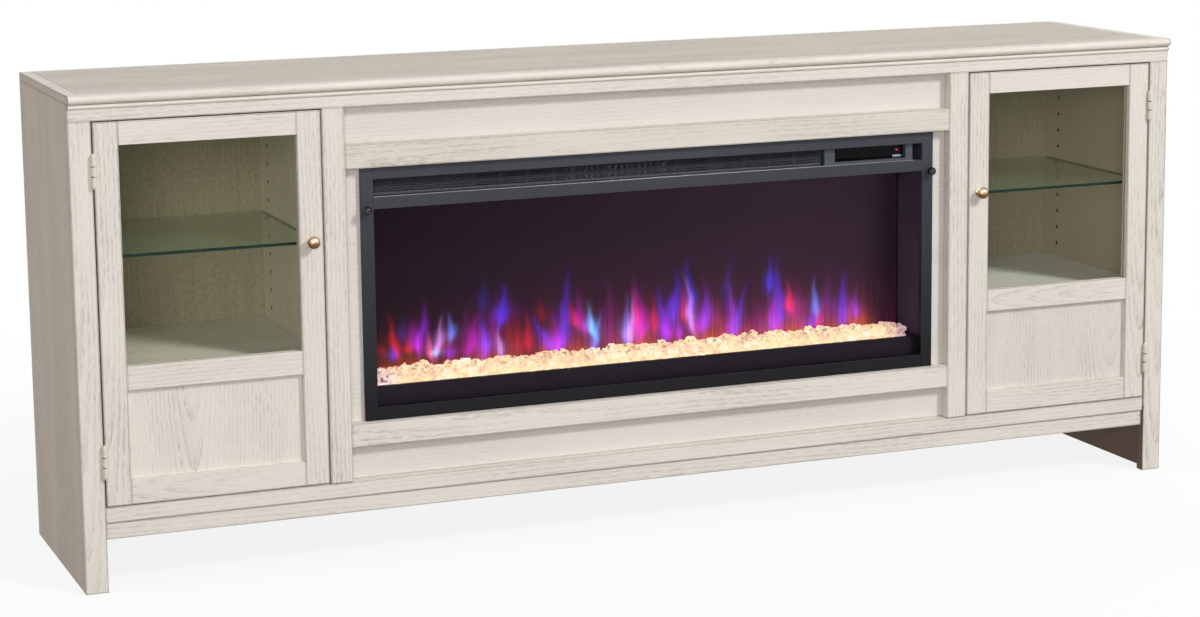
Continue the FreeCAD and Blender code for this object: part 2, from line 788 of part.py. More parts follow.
def make_firebox():
    """The box of sheet steel plates: flame chamber below, heater duct with two blower walls above."""
    depth = (frame_back, box_back)
    inner_height = (hearth, heater_top)
    heater_height = (heater_floor, heater_top)
    plates = [
        slab("firebox_floor", across(box_half), depth, (box_bottom, hearth)),
        slab("firebox_roof", across(box_half), depth, (heater_top, box_top)),
        slab("heater_shelf", across(chamber_half), (frame_back, wall_back), (chamber_top, heater_floor)),
        slab("firebox_right_wall", (chamber_half, box_half), depth, inner_height),
    ]
    left_wall = slab("firebox_left_wall_sheet", (-box_half, -chamber_half), depth, inner_height)
    spindle_hole = rod("spindle_hole", "x", spindle_axis, bearing_radius, (-box_half, -chamber_half))
    plates.append(cut("firebox_left_wall", left_wall, spindle_hole))
    back_wall = slab("firebox_back_sheet", across(chamber_half), (wall_back, box_back), inner_height)
    gland_hole = rod("gland_hole", "y", (gland_x, gland_z), size.gland_hole_radius, (wall_back, box_back))
    plates.append(cut("firebox_back", back_wall, gland_hole))
    for name, near in (("left", blower_near - size.sheet_thickness), ("right", blower_far)):
        span = (near, near + size.sheet_thickness)
        web = slab(f"{name}_blower_wall_sheet", span, (vent_zone_back, wall_back), heater_height)
        shaft_hole = rod(f"{name}_blower_hole", "x", blower_axis, bearing_radius, span)
        plates.append(cut(f"{name}_blower_wall", web, shaft_hole))
    keep("firebox_shell", group("firebox_shell", *plates))

    pane_depth = (frame_back, frame_back + size.fire_glass_thickness)
    keep("fire_front_glass", slab("fire_front_glass", across(chamber_half - size.fire_glass_play), pane_depth,
                                  (hearth + size.fire_glass_play, chamber_top - size.fire_glass_play)))

    flange_back = box_back + size.gland_flange
    flange = rod("gland_flange", "y", (gland_x, gland_z), size.gland_flange_radius, (box_back, flange_back))
    barrel = rod("gland_barrel", "y", (gland_x, gland_z), size.gland_hole_radius - size.gland_play,
                 (box_back - size.gland_barrel, box_back))
    bore = rod("gland_bore", "y", (gland_x, gland_z), size.gland_bore_radius,
               (box_back - size.gland_barrel, flange_back))
    keep("cord_gland", cut("cord_gland", fuse("gland_solid", flange, barrel), bore))


control_right = opening_half - size.control_right_margin
control_left = control_right - size.control_width


def make_vent():
    """The grille behind the vent, with its fine slots and its outlet slots."""
    plate_left = size.grille_play - chamber_half
    plate_right = control_left - size.grille_play
    grille_front = frame_back + size.grille_setback
    depth = (grille_front, grille_front + size.grille_thickness)
    vent_middle = (vent_bottom + vent_top) / 2
    grille = doc.addObject("PartDesign::Body", "vent_grille")
    body_box(grille, "Additive", "grille_plate", (plate_left, plate_right), depth,
             (heater_floor + size.grille_play, heater_top - size.grille_play))
    slot_left = size.mesh_side_margin - opening_half
    slot_height = (vent_middle - size.mesh_slot_height / 2, vent_middle + size.mesh_slot_height / 2)
    outlet_right = plate_right - size.outlet_margin
    outlet_run = size.outlet_pitch_across * (size.outlet_columns - 1) + size.outlet_slot_width
    outlet_left = outlet_right - outlet_run
    slot = body_box(grille, "Subtractive", "mesh_slot", (slot_left, slot_left + size.mesh_slot_width), depth,
                    slot_height)
    slot_count = whole((outlet_left - size.mesh_end_margin - slot_left) / size.mesh_slot_pitch)
    body_pattern(grille, "mesh_slots", [slot], "x", size.mesh_slot_pitch, slot_count)
    outlet_rise = size.outlet_pitch_up * (size.outlet_rows - 1) + size.outlet_slot_height
    outlet_bottom = vent_middle - outlet_rise / 2
    outlet = body_box(grille, "Subtractive", "outlet_slot",
                      (outlet_left, outlet_left + size.outlet_slot_width), depth,
                      (outlet_bottom, outlet_bottom + size.outlet_slot_height))
    body_pattern(grille, "outlet_slots", [outlet], "x", size.outlet_pitch_across, size.outlet_columns,
                 ("z", size.outlet_pitch_up, size.outlet_rows))
    keep("vent_grille", grille)


def make_controls():
    """The control panel at the right end of the vent, with a recessed window and one button."""
    panel_back = frame_back + size.control_depth
    window_back = frame_back + size.control_window_depth
    window_right = control_right - size.control_right_bar
    window_bottom = vent_bottom + size.control_sill
    button_right = window_right - size.button_right_margin
    button_left = button_right - size.button_width
    button_bottom = window_bottom + size.button_sill
    button_top = button_bottom + size.button_height

    panel = doc.addObject("PartDesign::Body", "control_panel")
    body_box(panel, "Additive", "control_block", (control_left, control_right), (frame_back, panel_back),
             (heater_floor, heater_top))
    body_box(panel, "Subtractive", "control_window", (control_left + size.control_left_bar, window_right),
             (frame_back, window_back), (window_bottom, vent_top))
    body_box(panel, "Subtractive", "button_pocket",
             (button_left - size.button_play, button_right + size.button_play),
             (window_back, window_back + size.button_pocket),
             (button_bottom - size.button_play, button_top + size.button_play))
    keep("control_panel", panel)

    button_front = window_back - size.button_proud
    keep("power_button", board("power_button", (button_left, button_right),
                               (button_front, button_front + size.button_depth),
                               (button_bottom, button_top)))


def make_motor(label, axis, radius, span):
    """A can motor with a blind bore that takes the driven shaft."""
    near = span[0]
    can = rod(f"{label}_can", "x", axis, radius, span)
    bore = rod(f"{label}_bore", "x", axis, bearing_radius, (near, near + size.motor_bore))
    return cut(label, can, bore)


def make_blower():
    """Cross-flow blower wheel: two discs, a ring of blades and the shaft through them."""
    wheel_radius = (heater_top - heater_floor) / 2 - size.blower_radial_play
    wheel_near = blower_near + size.blower_end_play
    wheel_far = blower_far - size.blower_end_play
    motor_near = blower_far + size.sheet_thickness
    shaft_span = (blower_near - size.sheet_thickness - size.shaft_stub,
                  motor_near + size.motor_bore - size.shaft_end_play)

    wheel = doc.addObject("PartDesign::Body", "blower_wheel")
    for label, radius, span in (("blower_shaft", size.shaft_radius, shaft_span),
                                ("near_disc", wheel_radius, (wheel_near, wheel_near + size.blower_disc)),
                                ("far_disc", wheel_radius, (wheel_far - size.blower_disc, wheel_far))):
        disc = wheel.newObject("PartDesign::AdditiveCylinder", label)
        shape_rod(disc, "x", (zero, zero), radius, span)
    half_blade = size.blower_blade_thickness / 2
    blade = body_box(wheel, "Additive", "blower_blade", (wheel_near, wheel_far), (-half_blade, half_blade),
                     (wheel_radius - size.blower_blade_depth, wheel_radius - half_blade))
    ring = wheel.newObject("PartDesign::PolarPattern", "blower_blades")
    ring.Originals = [blade]
    shaft_line = [feature for feature in wheel.Origin.OriginFeatures if feature.Role == "X_Axis"]
    ring.Axis = (shaft_line[0], [""])
    ring.Angle = 360
    ring.setExpression("Occurrences", str(size.blower_blade_count))
    wheel.Tip = ring
    place(wheel, zero, *blower_axis)
    keep("blower_wheel", wheel)

    motor = make_motor("blower_motor", blower_axis, size.blower_motor_radius,
                       (motor_near, motor_near + size.blower_motor_length))

    heater_left = blower_near + size.heater_side_gap
    heater_right = blower_far - size.heater_side_gap
    heater_front = frame_back + size.heater_setback
    heater_depth = (heater_front, heater_front + size.heater_depth)
    element = doc.addObject("PartDesign::Body", "heating_element")
    body_box(element, "Additive", "heater_block", (heater_left, heater_right), heater_depth,
             (heater_floor, heater_floor + size.heater_height))
    slot_count = whole((heater_right - heater_left - size.heater_rim) / size.heater_slot_pitch)
    slots_run = size.heater_slot_pitch * (slot_count - 1) + size.heater_slot_width
    slot_left = (heater_left + heater_right) / 2 - slots_run / 2
    slot = body_box(element, "Subtractive", "heater_slot", (slot_left, slot_left + size.heater_slot_width),
                    heater_depth, (heater_floor + size.heater_rim,
                                   heater_floor + size.heater_height - size.heater_rim))
    body_pattern(element, "heater_slots", [slot], "x", size.heater_slot_pitch, slot_count)
    keep("heating_element", element)
    return motor


def make_flame_unit():
    """The frosted flame screen and the turning spindle of reflector fins behind it."""
    screen_front = frame_back + size.flame_screen_setback
    keep("flame_screen", slab("flame_screen", across(chamber_half - size.flame_screen_side_gap),
                              (screen_front, screen_front + size.flame_screen_thickness),
                              (hearth, chamber_top)))

    motor_near = chamber_half - size.flame_motor_length
    motor = make_motor("flame_motor", spindle_axis, size.flame_motor_radius, (motor_near, chamber_half))

    y, z = spindle_axis
    shaft_span = (-box_half - size.shaft_stub, motor_near + size.motor_bore - size.shaft_end_play)
    solids = [rod("spindle_shaft", "x", spindle_axis, size.shaft_radius, shaft_span)]
    first_fin = size.fin_margin - chamber_half
    fin_run = motor_near - size.fin_margin - size.fin_length - first_fin
    half_fin = size.fin_width / 2
    half_thickness = size.fin_thickness / 2
    thin_y = (y - half_thickness, y + half_thickness)
    thin_z = (z - half_thickness, z + half_thickness)
    wide_y = (y - half_fin, y + half_fin)
    wide_z = (z - half_fin, z + half_fin)
    fin_count = int(number(size.fin_count))
    for index in range(fin_count):
        left = first_fin + fin_run * index / (size.fin_count - 1)
        upright = index % 2 == 0
        solids.append(slab(f"spindle_fin_{index}", (left, left + size.fin_length),
                           thin_y if upright else wide_y, wide_z if upright else thin_z))
    keep("flame_spindle", fuse("flame_spindle", *solids))
    return motor


def make_ember_bed():
    """The tray behind the glass, the lamps under it and the loose crystals on it."""
    tray_front = frame_back + size.tray_setback
    tray_back = tray_front + size.tray_depth
    tray_half = chamber_half - size.tray_side_gap
    lip = hearth + size.tray_height
    bed = lip - size.tray_recess
    block = slab("tray_block", across(tray_half), (tray_front, tray_back), (hearth, lip))
    recess = slab("tray_recess", across(tray_half - size.tray_wall),
                  (tray_front + size.tray_wall, tray_back - size.tray_wall), (bed, lip))
    underside = slab("tray_underside", across(tray_half - size.tray_skirt),
                     (tray_front + size.tray_skirt, tray_back - size.tray_skirt),
                     (hearth, bed - size.tray_floor))
    keep("ember_tray", cut("ember_tray", block, recess, underside))

    board_front = (tray_front + tray_back) / 2 - size.led_board_depth / 2
    keep("led_board", slab("led_board", across(tray_half - size.led_board_side_gap),
                           (board_front, board_front + size.led_board_depth),
                           (hearth, hearth + size.led_board_thickness)))

    pitch = number(size.crystal_pitch)
    run = 2 * number(tray_half - size.tray_wall)
    columns = int(run / pitch)
    rows = int(number(size.crystal_rows))
    row_depth = number(size.tray_depth - size.tray_wall * 2) / rows
    radius = (min(run / columns, row_depth) - number(size.crystal_gap)) / 2
    crystals = []
    for row in range(rows):
        for column in range(columns):
            x = run * ((column + 0.5) / columns - 0.5)
            y = number(tray_front + size.tray_wall) + row_depth * (row + 0.5)
            crystals.append(make_crystal(column + columns * row, radius, x, y, number(bed)))
    heap = doc.addObject("Part::Feature", "crystal_bed")
    heap.Shape = Part.Compound(crystals)
    keep("crystal_bed", heap)


def make_crystal(index, radius, x, y, z):
    """A five-sided chunk of glass that bulges above its foot and narrows to a slanting top."""
    golden_turn = 137.5
    height = number(size.crystal_height) * (0.8 + 0.2 * math.sin(index * 1.7))
    sections = []
    for level, reach, lean in ((0.0, 0.7, 0.0), (0.4, 1.0, 0.0), (1.0, 0.4, 0.15)):
        corners = []
        for corner in range(5):
            angle = math.radians(golden_turn * index + 72 * corner)
            corners.append(FreeCAD.Vector(x + radius * (reach * math.cos(angle) + lean),
                                          y + radius * reach * math.sin(angle), z + height * level))
        sections.append(Part.makePolygon(corners + corners[:1]))
    return Part.makeLoft(sections, True, True)


make_top()
make_front_frame()
make_carcass()
make_back_panels()
make_glass_shelves()
for door_side in ("left", "right"):
    make_door_frame(door_side)
    make_door_knob(door_side)
make_hinges_and_catches()
make_surround()
make_trim_frame()
make_firebox()
make_vent()
make_controls()
blower_motor = make_blower()
flame_motor = make_flame_unit()
keep("drive_motors", group("drive_motors", blower_motor, flame_motor))
make_ember_bed()
doc.recompute()

for feature in doc.Objects:
    if "Invalid" in feature.State or "Error" in feature.State:
        raise RuntimeError(f"{feature.Label} failed: {feature.State}")
for piece in pieces:
    if piece.Shape.isNull() or not piece.Shape.isValid() or not piece.Shape.Solids:
        raise RuntimeError(f"{piece.Label} has no valid solid")

os.makedirs("parts", exist_ok=True)
for piece in pieces:
    piece.Shape.exportStep(f"parts/{piece.Label}.step")
print(len(pieces), "pieces")
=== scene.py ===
import math
import random

import bmesh
import bpy
from mathutils import Matrix, Vector


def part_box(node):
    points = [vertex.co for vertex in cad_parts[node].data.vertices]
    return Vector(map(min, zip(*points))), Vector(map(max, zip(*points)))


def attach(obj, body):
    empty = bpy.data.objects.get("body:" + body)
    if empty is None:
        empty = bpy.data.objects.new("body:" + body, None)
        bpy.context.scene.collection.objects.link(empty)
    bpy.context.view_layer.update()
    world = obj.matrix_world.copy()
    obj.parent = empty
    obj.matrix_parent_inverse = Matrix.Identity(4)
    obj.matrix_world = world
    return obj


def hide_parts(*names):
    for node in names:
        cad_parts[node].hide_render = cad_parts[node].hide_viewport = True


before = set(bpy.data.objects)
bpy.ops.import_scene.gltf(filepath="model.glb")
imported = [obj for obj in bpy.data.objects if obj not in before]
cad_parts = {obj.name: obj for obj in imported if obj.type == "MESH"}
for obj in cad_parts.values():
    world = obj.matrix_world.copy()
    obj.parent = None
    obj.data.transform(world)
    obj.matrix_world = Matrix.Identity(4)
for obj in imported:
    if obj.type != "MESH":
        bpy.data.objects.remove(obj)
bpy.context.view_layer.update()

# The looks of an oak fireplace TV stand: finishes for the solids, and the fine pieces that the
# solids only stand in for. Metres, X to the right, Y to the back, Z up from the floor.

MM = 0.001


# Finishes

def linear(hex_colour):
    """An sRGB hex colour as linear red, green, blue and alpha."""
    channels = [int(hex_colour[i:i + 2], 16) / 255 for i in (1, 3, 5)]
    return tuple(c / 12.92 if c <= 0.04045 else ((c + 0.055) / 1.055) ** 2.4 for c in channels) + (1.0,)


def add(tree, kind, inputs=None, stops=None, **settings):
    """Adds a shader node. An input is a value, a hex colour, a socket, or a node, which gives its
    first output in use. A Mix node takes its two numbers as 2 and 3, and its two colours as 6 and 7."""
    node = tree.nodes.new("ShaderNode" + kind)
    for name, value in settings.items():
        setattr(node, name, value)
    for name, value in (inputs or {}).items():
        if isinstance(value, bpy.types.Node):
            value = next(socket for socket in value.outputs if socket.enabled)
        if isinstance(value, bpy.types.NodeSocket):
            tree.links.new(value, node.inputs[name])
        else:
            node.inputs[name].default_value = linear(value) if isinstance(value, str) else value
    if stops:
        elements = node.color_ramp.elements
        while len(elements) < len(stops):
            elements.new(0.5)
        for element, (place, colour) in zip(elements, stops):
            element.position = place
            element.color = linear(colour)
    return node


def start_material(name):
    """A new material, its empty tree, and the place of each point on the object."""
    material = bpy.data.materials.new(name)
    material.use_nodes = True
    tree = material.node_tree
    tree.nodes.clear()
    return material, tree, add(tree, "TexCoord").outputs["Object"]


def finish_material(material, shader):
    add(material.node_tree, "OutputMaterial", {"Surface": shader})
    return material


def grain_lines(tree, board, seed, heart, lean, ring, figure):
    """Dashes of open pores along the growth rings, faint where the wash lies thick. The pores and
    the patches of wash come with them."""
    # growth rings round the heart of the log, which leans to the board
    log = add(tree, "Mapping", {"Vector": board, "Location": (seed, heart[0] * MM, heart[1] * MM),
                                "Rotation": (0.0, lean, 0.0)})
    rings = add(tree, "TexWave",
                {"Vector": log, "Scale": 2 * math.pi / (20 * ring * MM), "Distortion": 7.0, "Detail": 3.0,
                 "Detail Scale": 0.06, "Detail Roughness": 0.55},
                wave_type="RINGS", rings_direction="X", wave_profile="SAW")
    # pores are 0.3 mm wide and a few mm long: drawn 1.5 mm wide and 16 mm long, so that they show
    pore_space = add(tree, "Mapping", {"Vector": board, "Location": (seed, seed, 0.0),
                                       "Scale": (62.0, 660.0, 660.0)})
    pores = add(tree, "TexNoise", {"Vector": pore_space, "Scale": 1.0, "Detail": 2.0, "Roughness": 0.6})
    # patches where the wash lies thicker, 70 mm wide and a third of a metre long
    patch_space = add(tree, "Mapping", {"Vector": board, "Location": (seed, 3 * seed, 0.0),
                                        "Scale": (2.8, 14.0, 14.0)})
    patches = add(tree, "TexNoise", {"Vector": patch_space, "Scale": 1.0, "Detail": 2.0})
    late_wood = add(tree, "MapRange", {0: rings.outputs["Fac"], 1: 0.40, 2: 0.95, 3: 0.24, 4: 1.0})
    open_pores = add(tree, "MapRange", {0: pores, 1: 0.40, 2: 0.63, 3: 0.04, 4: 1.0})
    thin_wash = add(tree, "MapRange", {0: patches, 1: 0.38, 2: 0.64, 3: 0.30 * figure, 4: figure})
    lines = add(tree, "Math", {0: late_wood, 1: open_pores}, operation="MULTIPLY")
    lines = add(tree, "Math", {0: lines, 1: thin_wash}, operation="MULTIPLY", use_clamp=True)
    return lines, pores, patches


def nearest_edge(tree, place, facing, half_size):
    """How far the nearest edge of a face is: the way along the face's own normal doesn't count."""
    out_of_reach = (0.01, 0.01, 0.01)
    spread = add(tree, "VectorMath", {0: place}, operation="ABSOLUTE")
    inset = add(tree, "VectorMath", {0: half_size, 1: spread}, operation="SUBTRACT")
    ways = add(tree, "VectorMath", {0: facing, 1: out_of_reach, 2: inset}, operation="MULTIPLY_ADD")
    x, y, z = add(tree, "SeparateXYZ", {0: ways}).outputs
    nearest = add(tree, "Math", {0: x, 1: y}, operation="MINIMUM")
    return add(tree, "Math", {0: nearest, 1: z}, operation="MINIMUM")


def shade_inside(tree, coords, normal, inner_side, shade_below, colour):
    """Painted shade on the inner face of a side: a duller tone, and dark brown below the bottom panel."""
    inwards = add(tree, "VectorMath", {0: normal, 1: inner_side}, operation="DOT_PRODUCT")
    inner = add(tree, "MapRange", {0: inwards, 1: 0.5, 2: 0.6, 3: 0.0, 4: 0.9})
    height = add(tree, "SeparateXYZ", {0: coords}).outputs["Z"]
    foot = add(tree, "Math", {0: height, 1: shade_below}, operation="LESS_THAN")
    inside = add(tree, "Mix", {0: foot, 6: "#b8ae9b", 7: "#5a3c26"}, data_type="RGBA")
    return add(tree, "Mix", {0: inner, 6: colour, 7: inside}, data_type="RGBA")


def whitewashed_oak(node, grain, seed, heart, lean=0.02, pale="#ede7df", wash="#e3dcd3", line="#9a8f83",
                    ring=7.0, figure=0.85, shade_below=None, sideways_shade=None):
    """Oak, brushed and limed: a chalky wash, grey-brown dashes where the pores of each growth ring
    still show, arches where the board was sawn flat, and brown edges: dark joints and painted shade."""
    low, high = (Vector(corner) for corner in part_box(node))
    material, tree, coords = start_material(f"whitewashed_oak_{node}")
    place = add(tree, "VectorMath", {0: coords, 1: (low + high) / 2}, operation="SUBTRACT")
    axes = add(tree, "SeparateXYZ", {0: place}).outputs
    order = {"x": "XZY", "z": "ZXY"}[grain]
    board = add(tree, "CombineXYZ", {i: axes[axis] for i, axis in enumerate(order)})
    lines, pores, patches = grain_lines(tree, board, seed, heart, lean, ring, figure)
    normal = add(tree, "TexCoord").outputs["Normal"]
    facing = add(tree, "VectorMath", {0: normal}, operation="ABSOLUTE")
    edge = nearest_edge(tree, place, facing, (high - low) / 2)
    washed = add(tree, "Mix", {0: patches, 6: pale, 7: wash}, data_type="RGBA")
    colour = add(tree, "Mix", {0: lines, 6: washed, 7: line}, data_type="RGBA")
    if sideways_shade:
        # painted shade: a face that looks sideways takes the darker, duller tone of the sides in shade
        sideways = add(tree, "SeparateXYZ", {0: facing}).outputs["X"]
        turned_away = add(tree, "MapRange", {0: sideways, 1: 0.3, 2: 0.9, 3: 0.0, 4: 0.85})
        colour = add(tree, "Mix", {0: turned_away, 6: colour, 7: sideways_shade}, data_type="RGBA")
    # the dark joints and the painted shade in the gaps fade out 2.2 mm from the edge
    dark_joints_and_shade = add(tree, "MapRange", {0: edge, 1: 0.6 * MM, 2: 2.2 * MM, 3: 0.85, 4: 0.0})
    colour = add(tree, "Mix", {0: dark_joints_and_shade, 6: colour, 7: "#5e5144"}, data_type="RGBA")
    # painted shade on the inner face of a side, dark brown under the cabinet
    if shade_below:
        inner_side = (math.copysign(1.0, -low[0]), 0.0, 0.0)
        colour = shade_inside(tree, coords, normal, inner_side, shade_below, colour)
    sheen = add(tree, "MapRange", {0: pores, 3: 0.46, 4: 0.68})
    bump = add(tree, "Bump", {"Strength": 0.4, "Distance": 0.4 * MM, "Height": lines}, invert=True)
    shader = add(tree, "BsdfPrincipled",
                 {"Base Color": colour, "Roughness": sheen, "Normal": bump, "Specular IOR Level": 0.3})
    return finish_material(material, shader)


def printed_hardboard(name):
    """Hardboard with printed oak paper: flatter than the boards, mottled, and duller, partly as painted
    shade.
    """
    material, tree, coords = start_material(name)
    # mottles 4 mm wide and 6 mm tall
    space = add(tree, "Mapping", {"Vector": coords, "Scale": (240.0, 240.0, 160.0)})
    mottles = add(tree, "TexNoise", {"Vector": space, "Scale": 1.0, "Detail": 4.0, "Roughness": 0.65})
    # the printed grain: upright streaks 5 mm wide and 150 mm long
    space = add(tree, "Mapping", {"Vector": coords, "Scale": (200.0, 200.0, 6.5)})
    grain = add(tree, "TexNoise", {"Vector": space, "Scale": 1.0, "Detail": 4.0, "Roughness": 0.6})
    figure = add(tree, "Mix", {0: 0.3, 2: mottles, 3: grain}, data_type="FLOAT")
    colour = add(tree, "ValToRGB", {0: figure}, [(0.38, "#989079"), (0.62, "#aea792")])
    shader = add(tree, "BsdfPrincipled",
                 {"Base Color": colour, "Roughness": 0.7, "Specular IOR Level": 0.25})
    return finish_material(material, shader)


def cut_edges(tree, pane, geometry, edge, dust):
    """A film of dust on the flat faces of a pane, and dark edges where it was cut."""
    film = add(tree, "BsdfDiffuse", {"Color": "#c2e0c6"})
    dusty = add(tree, "MixShader", {0: dust, 1: pane, 2: film})
    _, y, z = add(tree, "SeparateXYZ", {0: geometry.outputs["Normal"]}).outputs
    flat = add(tree, "Math", {0: z}, operation="ABSOLUTE")
    at_edge = add(tree, "Math", {0: flat, 1: 0.5}, operation="LESS_THAN")
    # the front edge is polished and dark, the ends less, and the back edge lets the light through:
    # an edge seen through the glass has its normal turned round
    outwards = add(tree, "Math", {0: geometry.outputs["Backfacing"], 1: -2.0, 2: 1.0},
                   operation="MULTIPLY_ADD")
    outwards = add(tree, "Math", {0: outwards, 1: y}, operation="MULTIPLY")
    depth = add(tree, "MapRange", {0: outwards, 1: -1.0, 2: 1.0, 3: 1.0, 4: 0.03})
    dark_edge = add(tree, "Math", {0: at_edge, 1: depth}, operation="MULTIPLY")
    green = add(tree, "BsdfPrincipled",
                {"Base Color": edge, "Roughness": 0.2, "Specular IOR Level": 0.15})
    return add(tree, "MixShader", {0: dark_edge, 1: dusty, 2: green})


def pane_glass(name, tint, ior, smear=0.02, coating=0.0, edge=None, dust=0.0):
    """Float glass: clear, with a thin reflection that grows at a slant, and a dark green cut edge
    where it shows. A coating against glare takes its share off the reflection."""
    material, tree, coords = start_material(name)
    # smears about 110 mm across
    smears = add(tree, "TexNoise", {"Vector": coords, "Scale": 9.0, "Detail": 3.0})
    roughness = add(tree, "MapRange", {0: smears, 1: 0.4, 2: 0.8, 3: 0.0, 4: smear})
    mirrored = add(tree, "Fresnel", {"IOR": ior})
    mirrored = add(tree, "Math", {0: mirrored, 1: coating}, operation="SUBTRACT")
    geometry = add(tree, "NewGeometry")
    # light that leaves the glass again isn't mirrored a second time
    mirrored = add(tree, "Math", {0: mirrored, 1: geometry.outputs["Backfacing"]},
                   operation="SUBTRACT", use_clamp=True)
    clear = add(tree, "BsdfTransparent", {"Color": tint})
    shine = add(tree, "BsdfGlossy", {"Color": "#ffffff", "Roughness": roughness})
    pane = add(tree, "MixShader", {0: mirrored, 1: clear, 2: shine})
    if edge:
        pane = cut_edges(tree, pane, geometry, edge, dust)
    return finish_material(material, pane)


def powder_coat(name, colour, grit=0.9, roughness=0.45, fade=None):
    """Baked powder paint: a satin skin with a fine orange-peel texture, which may go over from one
    tone to another between two heights, as painted light and shade."""
    material, tree, coords = start_material(name)
    # orange peel as wide as the grit in mm, and dust in patches of 70 mm
    peel = add(tree, "TexNoise", {"Vector": coords, "Scale": 1 / (grit * MM), "Detail": 2.0})
    dust = add(tree, "TexNoise", {"Vector": coords, "Scale": 14.0, "Detail": 4.0})
    start, end, other = fade or (0.0, 1.0, colour)
    height = add(tree, "SeparateXYZ", {0: coords}).outputs["Z"]
    rise = add(tree, "MapRange", {0: height, 1: start, 2: end})
    paint = add(tree, "Mix", {0: rise, 6: colour, 7: other}, data_type="RGBA")
    worn = add(tree, "MapRange", {0: dust, 3: 0.8, 4: 1.0})
    shade = add(tree, "VectorMath", {0: paint, "Scale": worn}, operation="SCALE")
    rough = add(tree, "MapRange", {0: dust, 1: 0.3, 2: 0.7, 3: roughness - 0.05, 4: roughness + 0.06})
    bump = add(tree, "Bump", {"Strength": 0.3, "Distance": 0.12 * MM, "Height": peel})
    shader = add(tree, "BsdfPrincipled",
                 {"Base Color": shade, "Roughness": rough, "Normal": bump, "Specular IOR Level": 0.2})
    return finish_material(material, shader)


def painted_hinge(name, paint, gap, gap_heights):
    """Steel hinges painted over with the wash: smooth, with painted shade in the gaps between the knuckles.
    """
    material, tree, coords = start_material(name)
    height = add(tree, "SeparateXYZ", {0: coords}).outputs["Z"]
    gap_shade = 0.0
    for gap_height in gap_heights:
        # painted shade in a gap of 0.3 mm: drawn 2 mm tall, so that it shows
        line = add(tree, "Math", {0: height, 1: gap_height, 2: 1 * MM}, operation="COMPARE")
        gap_shade = add(tree, "Math", {0: gap_shade, 1: line}, operation="MAXIMUM")
    # painted shade: the gaps are dark on the side turned away from the light, towards -X, and faint on the
    # other
    normal = add(tree, "TexCoord").outputs["Normal"]
    sideways = add(tree, "SeparateXYZ", {0: normal}).outputs["X"]
    away_from_light = add(tree, "MapRange", {0: sideways, 1: 0.3, 2: -0.5, 3: 0.15, 4: 0.9})
    gap_shade = add(tree, "Math", {0: gap_shade, 1: away_from_light}, operation="MULTIPLY")
    colour = add(tree, "Mix", {0: gap_shade, 6: paint, 7: gap}, data_type="RGBA")
    # brush strokes 3 mm wide
    strokes = add(tree, "TexNoise", {"Vector": coords, "Scale": 330.0, "Detail": 2.0})
    rough = add(tree, "MapRange", {0: strokes, 3: 0.44, 4: 0.58})
    shader = add(tree, "BsdfPrincipled",
                 {"Base Color": colour, "Roughness": rough, "Specular IOR Level": 0.4})
    return finish_material(material, shader)


def cast_metal(name, light, dark, patch, roughness, streak=(1.0, 1.0, 1.0)):
    """Metal with a drift of tarnish or brushing between two tones, in patches of so many mm."""
    material, tree, coords = start_material(name)
    space = add(tree, "Mapping", {"Vector": coords, "Scale": streak})
    tarnish = add(tree, "TexNoise", {"Vector": space, "Scale": 1 / (patch * MM), "Detail": 3.0})
    colour = add(tree, "ValToRGB", {0: tarnish}, [(0.35, dark), (0.65, light)])
    rough = add(tree, "MapRange", {0: tarnish, 1: 0.3, 2: 0.7, 3: roughness * 1.3, 4: roughness * 0.8})
    shader = add(tree, "BsdfPrincipled", {"Base Color": colour, "Metallic": 1.0, "Roughness": rough})
    return finish_material(material, shader)


def antique_brass(name, middle, radius):
    """Brass, turned and aged, with a painted reflection: dark brown below, bright metal on top."""
    material, tree, coords = start_material(name)
    height = add(tree, "SeparateXYZ", {0: coords}).outputs["Z"]
    # tarnish in spots about 4 mm across moves the edge of the painted reflection up and down
    tarnish = add(tree, "TexNoise", {"Vector": coords, "Scale": 250.0, "Detail": 3.0})
    level = add(tree, "MapRange", {0: height, 1: middle - radius, 2: middle + radius, 3: -0.1, 4: 0.9})
    painted_reflection = add(tree, "Math", {0: tarnish, 1: 0.2, 2: level}, operation="MULTIPLY_ADD")
    colour = add(tree, "ValToRGB", {0: painted_reflection},
                 [(0.1, "#5f452c"), (0.42, "#84613a"), (0.56, "#cfab82"), (0.75, "#f4e0c8"),
                  (1.0, "#b3966e")])
    shader = add(tree, "BsdfPrincipled", {"Base Color": colour, "Metallic": 1.0, "Roughness": 0.22})
    return finish_material(material, shader)


def moulded_plastic(name, colour, roughness, glow="#000000", strength=0.0, specular=0.5):
    """ABS, moulded: an even colour with a very fine spark-eroded texture, and lit if it is a lamp."""
    material, tree, coords = start_material(name)
    # sparks leave pits 0.7 mm across
    texture = add(tree, "TexNoise", {"Vector": coords, "Scale": 1500.0, "Detail": 2.0})
    rough = add(tree, "MapRange", {0: texture, 1: 0.3, 2: 0.7, 3: roughness * 0.85, 4: roughness * 1.2})
    bump = add(tree, "Bump", {"Strength": 0.08, "Distance": 0.1 * MM, "Height": texture})
    shader = add(tree, "BsdfPrincipled",
                 {"Base Color": colour, "Roughness": rough, "Normal": bump, "Specular IOR Level": specular,
                  "Emission Color": glow, "Emission Strength": strength})
    return finish_material(material, shader)


